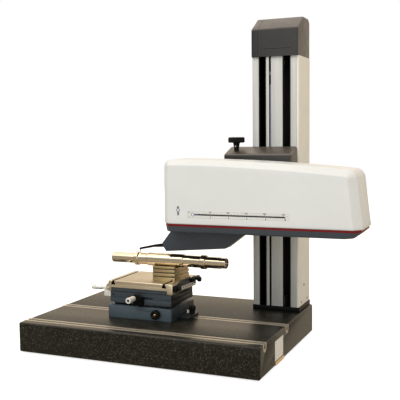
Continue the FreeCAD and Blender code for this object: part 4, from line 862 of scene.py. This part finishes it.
def make_cap():
    """The cap in two mouldings with a fine seam between them, and a slit across its front: a dark strip of painted
    shade over a lip in lighter paint, a painted highlight.
    """
    low, high = span("column_cap")
    seam_x, seam_half, inset = 222.0, 0.4, 1.2
    slit_left, slit_right, lip_z, slit_z, slit_top = 231, 318, 834.2, 834.9, 836.3
    front, back = low.y, high.y
    front_top, shoulder_y, flat_end_y, back_top = 892.0, 179.9, 234.9, 917.0
    outline = [(front, low.z), (front, front_top), (shoulder_y, high.z), (flat_end_y, high.z), (back, back_top),
               (back, low.z)]
    for name, x0, x1 in (("cap_left", low.x, seam_x - seam_half), ("cap_right", seam_x + seam_half, high.x)):
        seam = x1 if name == "cap_left" else x0

        def outer_edge(edge):
            level = max(v.co.z for v in edge.verts)
            at_seam = all(abs(v.co.x - seam) < 0.01 for v in edge.verts)
            return not at_seam and level > low.z + 0.01

        shape = Shape().prism(outline, "x", x0, x1, 4.0, 5, outer_edge)
        shape.piece(name, "stand", "cap_plastic", ["column_cap"], smooth=28)
    core = [(front + inset, low.z + 1), (front + inset, front_top - 0.5), (shoulder_y + 0.4, high.z - inset),
            (flat_end_y, high.z - inset), (back - inset, back_top - inset), (back - inset, low.z + 1)]
    Shape().prism(core, "x", seam_x - 2, seam_x + 2, 0.5).piece("cap_seam_core", "stand", "dark_plastic")
    # Painted highlight: the lip takes the lighter carriage paint.
    lip = Shape().box(slit_left, slit_right, front - 0.25, front + 1, lip_z, slit_z, 0.2, 1)
    lip.piece("cap_slit_highlight_lip", "stand", "cap_plastic", look="carriage_paint")
    # Painted shade: a flat dark strip stands for the slit's shaded inside.
    slit_shade = Shape().box(slit_left, slit_right, front - 0.05, front + 1, slit_z, slit_top, 0.02, 1)
    slit_shade.piece("cap_slit_shade", "stand", "dark_plastic")


def make_column_details():
    """Bristles, the limit switch's rod with its stops in the left channel, and screws on the side."""
    low, high = span("column_profile")
    front = low.y
    bristles = Shape()
    strip, strip_front, strip_back = 3.6, front + 1.4, front + 3.4
    for x0, x1 in ((223.0, 245.0), (293.5, 317.0)):
        for a, b in ((x0, x0 + strip), (x1 - strip, x1)):
            bristles.box(a, b, strip_front, strip_back, low.z, high.z, 0.3, 1)
    bristles.piece("gap_bristles", "stand", "dark_plastic")
    groove_left, groove_right = 253.5, 259.5
    middle = (groove_left + groove_right) / 2
    foot, split, top = span("limit_rod")[0].z, 540.0, 773.0
    rod_place = (middle + 0.4, front + 3.4)
    rod = Shape().turned("z", rod_place, [(split, 0), (split, 2.3), (top - 1, 2.3), (top, 1.6), (top, 0)], 24)
    rod.piece("limit_rod_blue", "stand", "dark_plastic", ["limit_rod"], look="rod_blue")
    stops = Shape()
    stops.turned("z", rod_place, [(foot, 0), (foot, 2.3), (split, 2.3), (split, 0)], 24)
    stops.turned("z", rod_place, shifted(top, (0, 0), (0, 2.0), (1.5, 2.8), (9.0, 2.8), (11.0, 1.4), (11.0, 0)), 24)
    stops.turned("z", (middle + 0.6, rod_place[1] - 0.3), [(737.0, 0), (737.0, 2.7), (764.0, 2.7), (764.0, 0)], 24)
    stops.box(groove_left, groove_right, front + 5.4, front + 6.0, low.z, high.z, 0.05, 1)
    stops.turned("z", rod_place, shifted(foot, (0, 0), (0, 2.8), (12, 2.8), (12, 0)), 24)
    stops.piece("limit_stops", "stand", "dark_plastic")
    panel = span("column_side_panel")[1].x
    screws = Shape()
    for y, z, radius in ((185, 157, 4.2), (219, 111, 3.4), (155, 111, 3.4)):
        screws.screw("x", (y, z), panel - 0.2, 1, radius, 0.6, 1.5)
    screws.piece("panel_screws", "stand", "black_steel")


def make_carriage():
    """The carriage housing with a sloped shoulder and round front edges."""
    low, high = span("carriage_cover")
    shoulder = 20.0

    def front_edges(edge):
        return min(v.co.y for v in edge.verts) < high.y - 1

    outline = [(low.y, low.z), (low.y, high.z - shoulder), (high.y, high.z), (high.y, low.z)]
    shape = Shape().prism(outline, "x", low.x, high.x, 6.0, 5, front_edges)
    shape.piece("carriage_shell", "carriage", "carriage_paint", ["carriage_cover"], smooth=28)
    screws = Shape()
    for face, way in ((low.x + 0.2, -1), (high.x - 0.2, 1)):
        for z in (395, 525):
            screws.screw("x", (100, z), face, way, 2.6, 0.5, 1.5)
    screws.piece("carriage_screws", "carriage", "black_steel")


def make_clamp_knob():
    """The lobed grip of the tilt clamp, with its neck and a pin."""
    low, high = span("clamp_knob")
    x, y = (low.x + high.x) / 2, (low.y + high.y) / 2
    radius = (high.x - low.x) / 2
    head, depth = high.z - 16.0, 2.0
    profile = shifted(head, (0, 0), (0, radius - 4.0, depth), (0.8, radius - 1.6, depth), (2.6, radius - 0.2, depth))
    profile += shifted(high.z, (-2.8, radius - 0.2, depth), (-0.8, radius - 1.8, depth), (0, radius - 4.5, depth),
                       (0, 9.0), (-0.6, 8.4), (-0.6, 0))
    neck = [(low.z, 0), (low.z, 6.4), (low.z + 14, 6.9), (head - 3, 9.0), (head, 10.5), (head, 0)]
    grip = Shape().turned("z", (x, y), profile, 160, 10).turned("z", (x, y), neck, 48)
    grip.piece("lobed_grip", "clamp_knob", "dark_plastic", ["clamp_knob"])
    pin = shifted(y, (-8.6, 0), (-8.6, 1.2), (-8.0, 2.0), (-4.0, 2.0), (-4.0, 0))
    Shape().turned("y", (x, low.z + 25.0), pin, 24).piece("grip_pin", "clamp_knob", "thimble_chrome")


# Cross table

def make_shaft():
    """The turned shaft with small chamfers and turned rings at its steps."""
    low, high = span("workpiece_shaft")
    y, z = (low.y + high.y) / 2, (low.z + high.z) / 2
    journal, collar_one, neck, barrel, collar_two, tail, tail_end = 14.2, 19.5, 16.5, 18.7, 19.6, 15.8, 14.6
    profile = [
        (low.x, 0), (low.x, 4.0), (low.x + 2.2, 2.6), (low.x, 4.0), (low.x, journal - 1.2), (low.x + 1.2, journal),
        (-150.0, journal), (-149.6, journal - 0.25), (-149.0, journal), (-97.8, journal), (-97.0, journal + 0.8),
        (-97.0, collar_one - 2.2), (-94.8, collar_one), (-86.2, collar_one), (-84.0, collar_one - 2.2),
        (-84.0, neck + 0.6), (-83.4, neck), (-57.0, neck), (-56.4, neck - 0.5), (-55.4, neck - 0.5), (-55.0, neck),
        (-55.0, barrel - 0.7), (-54.3, barrel), (55.3, barrel), (56.0, barrel - 0.7), (56.0, neck + 0.3),
        (56.4, neck), (107.2, neck), (108.0, neck + 0.8), (108.0, collar_two - 1.2), (109.2, collar_two),
        (121.8, collar_two), (123.0, collar_two - 1.2), (123.0, tail + 0.5), (123.5, tail), (165.0, tail),
        (166.0, tail - 0.9), (166.0, tail_end), (high.x - 1.5, tail_end), (high.x, tail_end - 1.5), (high.x, 4.2),
        (high.x - 2.6, 2.6), (high.x - 2.6, 0)]
    shaft = Shape().turned("x", (y, z), profile, 96)
    shaft.piece("turned_shaft", "workpiece", "polished_shaft", ["workpiece_shaft"], smooth=20)


def make_thimble(node, axis, centre, start, stem_end, radius):
    """A micrometer thimble: a small cap, a knurled grip, a smooth barrel, a bevelled edge and its stem."""
    end, tooth = start + 32.0, 0.28
    grip = start + (end - start) * 0.42
    profile = shifted(start, (3.0, 0), (3.0, radius * 0.44), (0, radius * 0.46), (0, radius - 0.9),
                      (0.8, radius - 0.1), (3.0, radius))
    profile += [(start + 3.0 + 0.3, radius, tooth), (grip, radius, tooth), (grip + 0.3, radius),
                (grip + 1.0, radius - 0.2)]
    profile += shifted(end, (-5.0, radius - 0.2), (-0.6, radius - 1.0), (0, radius - 1.2), (0, 5.2), (-4, 5.2),
                       (-4, 0))
    thimble = Shape().turned(axis, centre, profile, 192, 48)
    thimble.turned(axis, centre, [(end - 4, 0), (end - 4, 2.4), (stem_end, 2.4), (stem_end, 0)], 24)
    thimble.piece(node + "_knurled", node, "thimble_chrome", [node], look="pale_metal")


def make_micrometers():
    """Both thimbles, the front one with a hole in its end and the flange of its micrometer."""
    low, high = span("front_thimble")
    x, z, radius = (low.x + high.x) / 2, (low.z + high.z) / 2, (high.x - low.x) / 2 + 1.2
    hole = shifted(low.y, (1.6, 0), (1.6, radius * 0.45), (3.2, radius * 0.45), (3.2, 0))
    Shape().turned("y", (x, z), hole, 32).piece("front_thimble_hole", "front_thimble", "dark_plastic")
    make_thimble("front_thimble", "y", (x, z), low.y, high.y, radius)
    low, high = span("front_micrometer")
    face = low.y + 26.0
    rim = shifted(face, (0, 0), (0, 9.6), (0.6, 11.2), (1.8, 12.8), (3.0, 13.5), (7.2, 13.5), (8.0, 12.8), (8.0, 0))
    flange = Shape().turned("y", (x, z - 3.0), rim, 64)
    flange.box(x - 13.0, x + 13.0, face + 7.5, high.y, low.z, low.z + 19.5, 1.0)
    flange.turned("y", (x, z), [(low.y, 0), (low.y, 4.6), (face, 4.6), (face, 0)], 48)
    flange.piece("front_micrometer_flange", "tilt_stage", "table_paint", ["front_micrometer"], look="black_steel")
    low, high = span("left_thimble")
    centre = ((low.y + high.y) / 2, (low.z + high.z) / 2)
    make_thimble("left_thimble", "x", centre, low.x, high.x, (high.z - low.z) / 2)


def make_tilt_knob():
    """The knurled tilt knob and the slotted brass screw in it."""
    low, high = span("tilt_knob")
    x, z, radius = (low.x + high.x) / 2, (low.z + high.z) / 2, (high.z - low.z) / 2
    profile = shifted(low.y, (3.0, 0), (3.0, 5.0), (0, 7.0), (0, radius - 2.4, 0.6), (1.4, radius - 0.6, 0.9),
                      (3.0, radius, 0.9))
    profile += shifted(high.y, (-2.5, radius, 0.9), (-0.8, radius - 1.0, 0.6), (0, radius - 2.0), (0, 0))
    grip = Shape().turned("y", (x, z), profile, 216, 27)
    grip.piece("tilt_grip", "tilt_knob", "dark_plastic", ["tilt_knob"])
    tail = span("tilt_screw")[1].y
    screw = Shape().turned("y", (x, z), shifted(low.y, (1.0, 0), (1.0, 3.0), (1.6, 3.6), (3.4, 3.6), (3.4, 0)), 40)
    screw.turned("y", (x, z), [(high.y, 0), (high.y, 5.9), (tail - 1.0, 5.9), (tail, 5.0), (tail, 0)], 40)
    screw.piece("tilt_screw_face", "tilt_knob", "brass_nut", ["tilt_screw"])
    slot = Shape().box(x - 2.9, x + 2.9, low.y + 0.9, low.y + 1.4, z - 0.4, z + 0.4, 0.05, 1)
    slot.piece("tilt_screw_slot", "tilt_knob", "dark_plastic")


def make_stop_bar():
    """The stop on the table's right: a pale slotted rail, a grey fence above it, black blocks and two knobs."""
    low, high = span("side_stop_bar")
    side, face, lip = low.x + 0.2, low.x + 6.0, low.x + 8.4
    rail_low, rail_high, rail_front, rail_back = 169.0, 176.6, -54.0, 42.0
    rail = Shape().box(side, face, rail_front, rail_back, rail_low, rail_high, 0.3, 1)
    for z0, z1 in ((rail_low, rail_low + 1.7), (rail_high - 1.7, rail_high)):
        rail.box(face - 0.3, lip, rail_front, rail_back, z0, z1, 0.3, 1)
    posts, post = 7, 5.0
    for i in range(posts):
        y = rail_front + (rail_back - rail_front - post) * i / (posts - 1)
        rail.box(face - 0.3, lip, y, y + post, rail_low + 1.0, rail_high - 1.0, 0.2, 1)
    rail.piece("stop_rail", "table_top", "ground_steel", ["side_stop_bar"], look="pale_metal")
    # Painted shade: a dark plate behind the posts darkens the rail's slots.
    shade_lining = Shape().box(face - 0.2, face + 0.4, rail_front + 1, rail_back - 1, rail_low + 1, rail_high - 1, 0)
    shade_lining.piece("stop_rail_slot_shade", "table_top", "dark_plastic")
    fence = Shape().box(side, low.x + 5.4, -61.0, 9.0, rail_high + 0.6, 194.5, 0.8)
    fence.piece("stop_fence", "table_top", "dark_plastic", look="fence_grey")
    bar = Shape().box(side, low.x + 8.0, 9.3, high.y - 14.0, rail_high + 0.6, 188.0, 1.0)
    bar.box(side, low.x + 5.0, high.y - 15.0, high.y, 171.0, 182.0, 1.0)
    bar.box(side, low.x + 9.0, -97.0, -61.4, 168.0, 184.5, 1.4)
    bar.turned("x", (-84.0, 176.5), shifted(low.x, (9.0, 0), (9.0, 6.2, 0.4), (14.0, 6.2, 0.4), (14.0, 0)), 96, 16)
    knob = shifted(low.x, (5.0, 0), (5.0, 3.6), (10.5, 3.6), (10.8, 6.6, 0.4), (12.0, 7.2, 0.6), (18.5, 7.2, 0.6),
                   (20.0, 6.0, 0.3), (20.0, 2.6), (19.4, 2.2), (19.4, 0))
    for place in ((3.0, 186.5), (50.0, 179.5)):
        bar.turned("x", place, knob, 96, 16)
    bar.piece("stop_bar_black", "table_top", "dark_plastic", ["side_stop_bar"])


def make_clamp():
    """The strap on the plate, its white pin and the black hand nut."""
    left = span("base_clamp")[0].x
    top = 96.0
    strap = Shape().prism(plan_loop(left, left + 36.0, -62.0, 2.0, (1, 8, 8, 1), 5), "z", 86.0, top, 0.8)
    strap.piece("clamp_strap", "stand", "table_paint", ["base_clamp"])
    pin = [(top - 1, 0), (top - 1, 3.5), (103.0, 3.5), (104.0, 2.6), (104.0, 0)]
    Shape().turned("z", (60.0, -20.0), pin, 32).piece("clamp_pin", "stand", "side_panel")
    axis = (74.0, -20.0)
    stud = Shape().turned("z", axis, [(top - 1, 0), (top - 1, 4.0), (114.0, 4.0), (115.2, 3.0), (115.2, 0)], 32)
    stud.box(66.5, 81.5, -28.0, -12.0, 72.5, 78.7, 0.3)
    stud.box(67.5, 80.5, -24.7, -15.3, 78.7, 86.0, 0.2)
    stud.piece("clamp_stud", "stand", "guide_steel")
    low, high = span("base_clamp_knob")
    bore = 4.15
    profile = shifted(low.z, (0, bore), (0, 7.0), (0.8, 7.6), (6.5, 7.6), (8.0, 6.4), (8.2, 8.0, 0.4),
                      (9.4, 9.0, 0.7))
    profile += shifted(high.z, (-1.4, 9.0, 0.7), (0, 7.8, 0.3), (0, bore)) + [(low.z, bore)]
    nut = Shape().turned("z", axis, profile, 96, 16)
    nut.piece("clamp_nut", "base_clamp_knob", "dark_plastic", ["base_clamp_knob"])


def make_table_top():
    """The table top: its lower part is set back in front between two end blocks, with a band of painted shadow on it,
    and the slots are lined dark as painted shade.
    """
    low, high = span("table_top")
    surface, bottom = high.z, span("cross_slide")[1].z + 0.3
    plate_low = surface - 19.0
    left_block, right_block = low.x + 8.0, high.x - 17.0
    set_back = 2.6
    bm = cad_mesh("table_top")
    for axis, place in (((0, 0, 1), V(0, 0, plate_low)), ((1, 0, 0), V(left_block, 0, 0)),
                        ((1, 0, 0), V(right_block, 0, 0))):
        bmesh.ops.bisect_plane(bm, geom=bm.verts[:] + bm.edges[:] + bm.faces[:], plane_co=place, plane_no=axis)
    faces = []
    for face in bm.faces:
        middle = face.calc_center_median() / MM
        in_front = face.normal.y < -0.9 and middle.y < low.y + 0.5
        if in_front and bottom < middle.z < plate_low and left_block < middle.x < right_block:
            faces.append(face)
    made = bmesh.ops.extrude_face_region(bm, geom=faces)
    bmesh.ops.delete(bm, geom=faces, context="FACES")
    moved = [v for v in made["geom"] if isinstance(v, bmesh.types.BMVert)]
    bmesh.ops.translate(bm, verts=moved, vec=V(0, set_back, 0))
    bevel_edges(bm, 0.4 * MM)
    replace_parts(add_piece("table_top_worked", bm, "table_top", "ground_steel"), "table_top")
    band_y = low.y + set_back
    # Painted shadow: a band of dark table paint over the set-back face.
    shadow = Shape().box(left_block + 0.1, right_block - 0.1, band_y - 0.3, band_y + 0.3, bottom + 0.2,
                         plate_low - 0.1, 0.1, 1)
    shadow.piece("table_front_shadow_band", "table_top", "table_paint")
    # Painted shade: dark linings on the walls and floors of the T-slots.
    shade_lining = Shape()
    mouth, lip, head, head_high, skin = 7.0, 6.0, 12.0, 6.0, 0.25
    ends = (low.y + 0.3, high.y - 0.3)
    floor = surface - lip - head_high
    slot_centres = (-133.5, 25.0)
    for x in slot_centres:
        for side in (-1, 1):
            for width, z0, z1 in ((mouth, surface - lip, surface - 0.9), (head, floor, surface - lip)):
                wall = x + side * width / 2
                shade_lining.box(min(wall, wall - side * skin), max(wall, wall - side * skin), *ends, z0, z1, 0)
        shade_lining.box(x - head / 2, x + head / 2, *ends, floor, floor + skin, 0)
    shade_lining.piece("slot_shade_lining", "table_top", "dark_plastic")


def make_plate_details():
    """A blank white plate with four screws and a brass strip on the granite's right side."""
    side = span("granite_plate")[1].x
    plate = Shape().box(side - 0.5, side + 0.6, -128, -58, 17, 69, 0.25, 1)
    plate.piece("side_plate", "stand", "side_panel", look="printed_white")
    gap = Shape().box(side - 0.5, side + 0.4, -126, -54, 14.5, 16.8, 0.1, 1)
    gap.piece("side_plate_foot", "stand", "dark_plastic")
    Shape().box(side - 0.5, side + 0.5, -124, -50, 4.5, 14.5, 0.2, 1).piece("side_strip", "stand", "brass_nut")
    screws = Shape()
    for y in (-121, -65):
        for z in (23, 63):
            screws.turned("x", (y, z), [(side + 0.5, 2.0), (side + 0.85, 1.7), (side + 0.85, 0)], 20)
    screws.piece("side_plate_screws", "stand", "guide_steel")


def make_table_details():
    """Lock screws on the left and a small screw in front."""
    for body, node, y, z in (("cross_slide", "cross_slide", -62.0, 151.5), ("tilt_stage", "tilt_block", -66.0, 135.0),
                             ("stand", "table_base", -66.0, 108.0)):
        profile = shifted(span(node)[0].x, (0.5, 0), (0.5, 2.0), (-2.4, 2.0), (-2.8, 4.0, 0.3), (-7.4, 4.0, 0.3),
                          (-8.0, 3.2), (-8.0, 0))
        Shape().turned("x", (y, z), profile, 64, 16).piece("lock_screw_" + node, body, "black_steel")
    low, high = span("cross_slide")
    screw = Shape().screw("y", (low.x + 9, (low.z + high.z) / 2), low.y + 0.1, -1, 2.6, 0.5, 1.5)
    screw.piece("gib_screw", "cross_slide", "black_steel")


def make_keel():
    """The probe housing: a hull with bevelled long edges, and a gaiter where the arm comes out."""
    low, high = span("probe_housing")

    def long_edges(edge):
        a, b = (v.co for v in edge.verts)
        return abs(a.y - b.y) < 0.01 and min(a.z, b.z) < high.z - 0.01

    outline = [(27.0, high.z), (-1.4, 297.0), (0.4, 288.5), (10.0, low.z + 0.4), (186.0, 288.6),
               (high.x - 0.5, high.z)]
    bevel = 3.6
    hull = Shape().prism(outline, "y", low.y, high.y, bevel, 2, long_edges)
    hull.piece("keel_hull", "traverse", "slate_pan", ["probe_housing"], look="keel_paint", smooth=25)
    seat = Shape().box(-3.4, 6.0, -37.5, -22.5, 278.5, 295.5, 1.0)
    seat.piece("arm_gaiter", "traverse", "dark_plastic")


def make_vee_grooves():
    """Painted shade: dark brown linings in the V-block's long grooves."""
    low, high = span("v_block")
    shade_lining = Shape()
    groove_levels = (0.22, 0.5, 0.76)
    for level in groove_levels:
        z = low.z + level * (high.z - low.z)
        shade_lining.box(low.x + 0.2, high.x - 2.2, low.y + 1.6, low.y + 2.05, z + 0.2, z + 2.6, 0)
    shade_lining.piece("vee_groove_shade", "table_top", "ground_steel", look="groove_brown")


for build in (make_keel, make_cover, make_trim, make_pan, make_scale, make_cap, make_column_details, make_carriage,
              make_clamp_knob, make_shaft, make_micrometers, make_tilt_knob, make_stop_bar, make_clamp,
              make_plate_details, make_table_top, make_table_details):
    build()

for node_name, edge in {"granite_plate": 0.8, "column_foot": 0.6, "column_profile": 0.4, "column_cover_strip": 0.4,
                        "column_side_panel": 0.6, "table_base": 0.6, "tilt_block": 0.5, "cross_slide": 0.5,
                        "v_block": 0.3}.items():
    softened(node_name, edge)
make_vee_grooves()
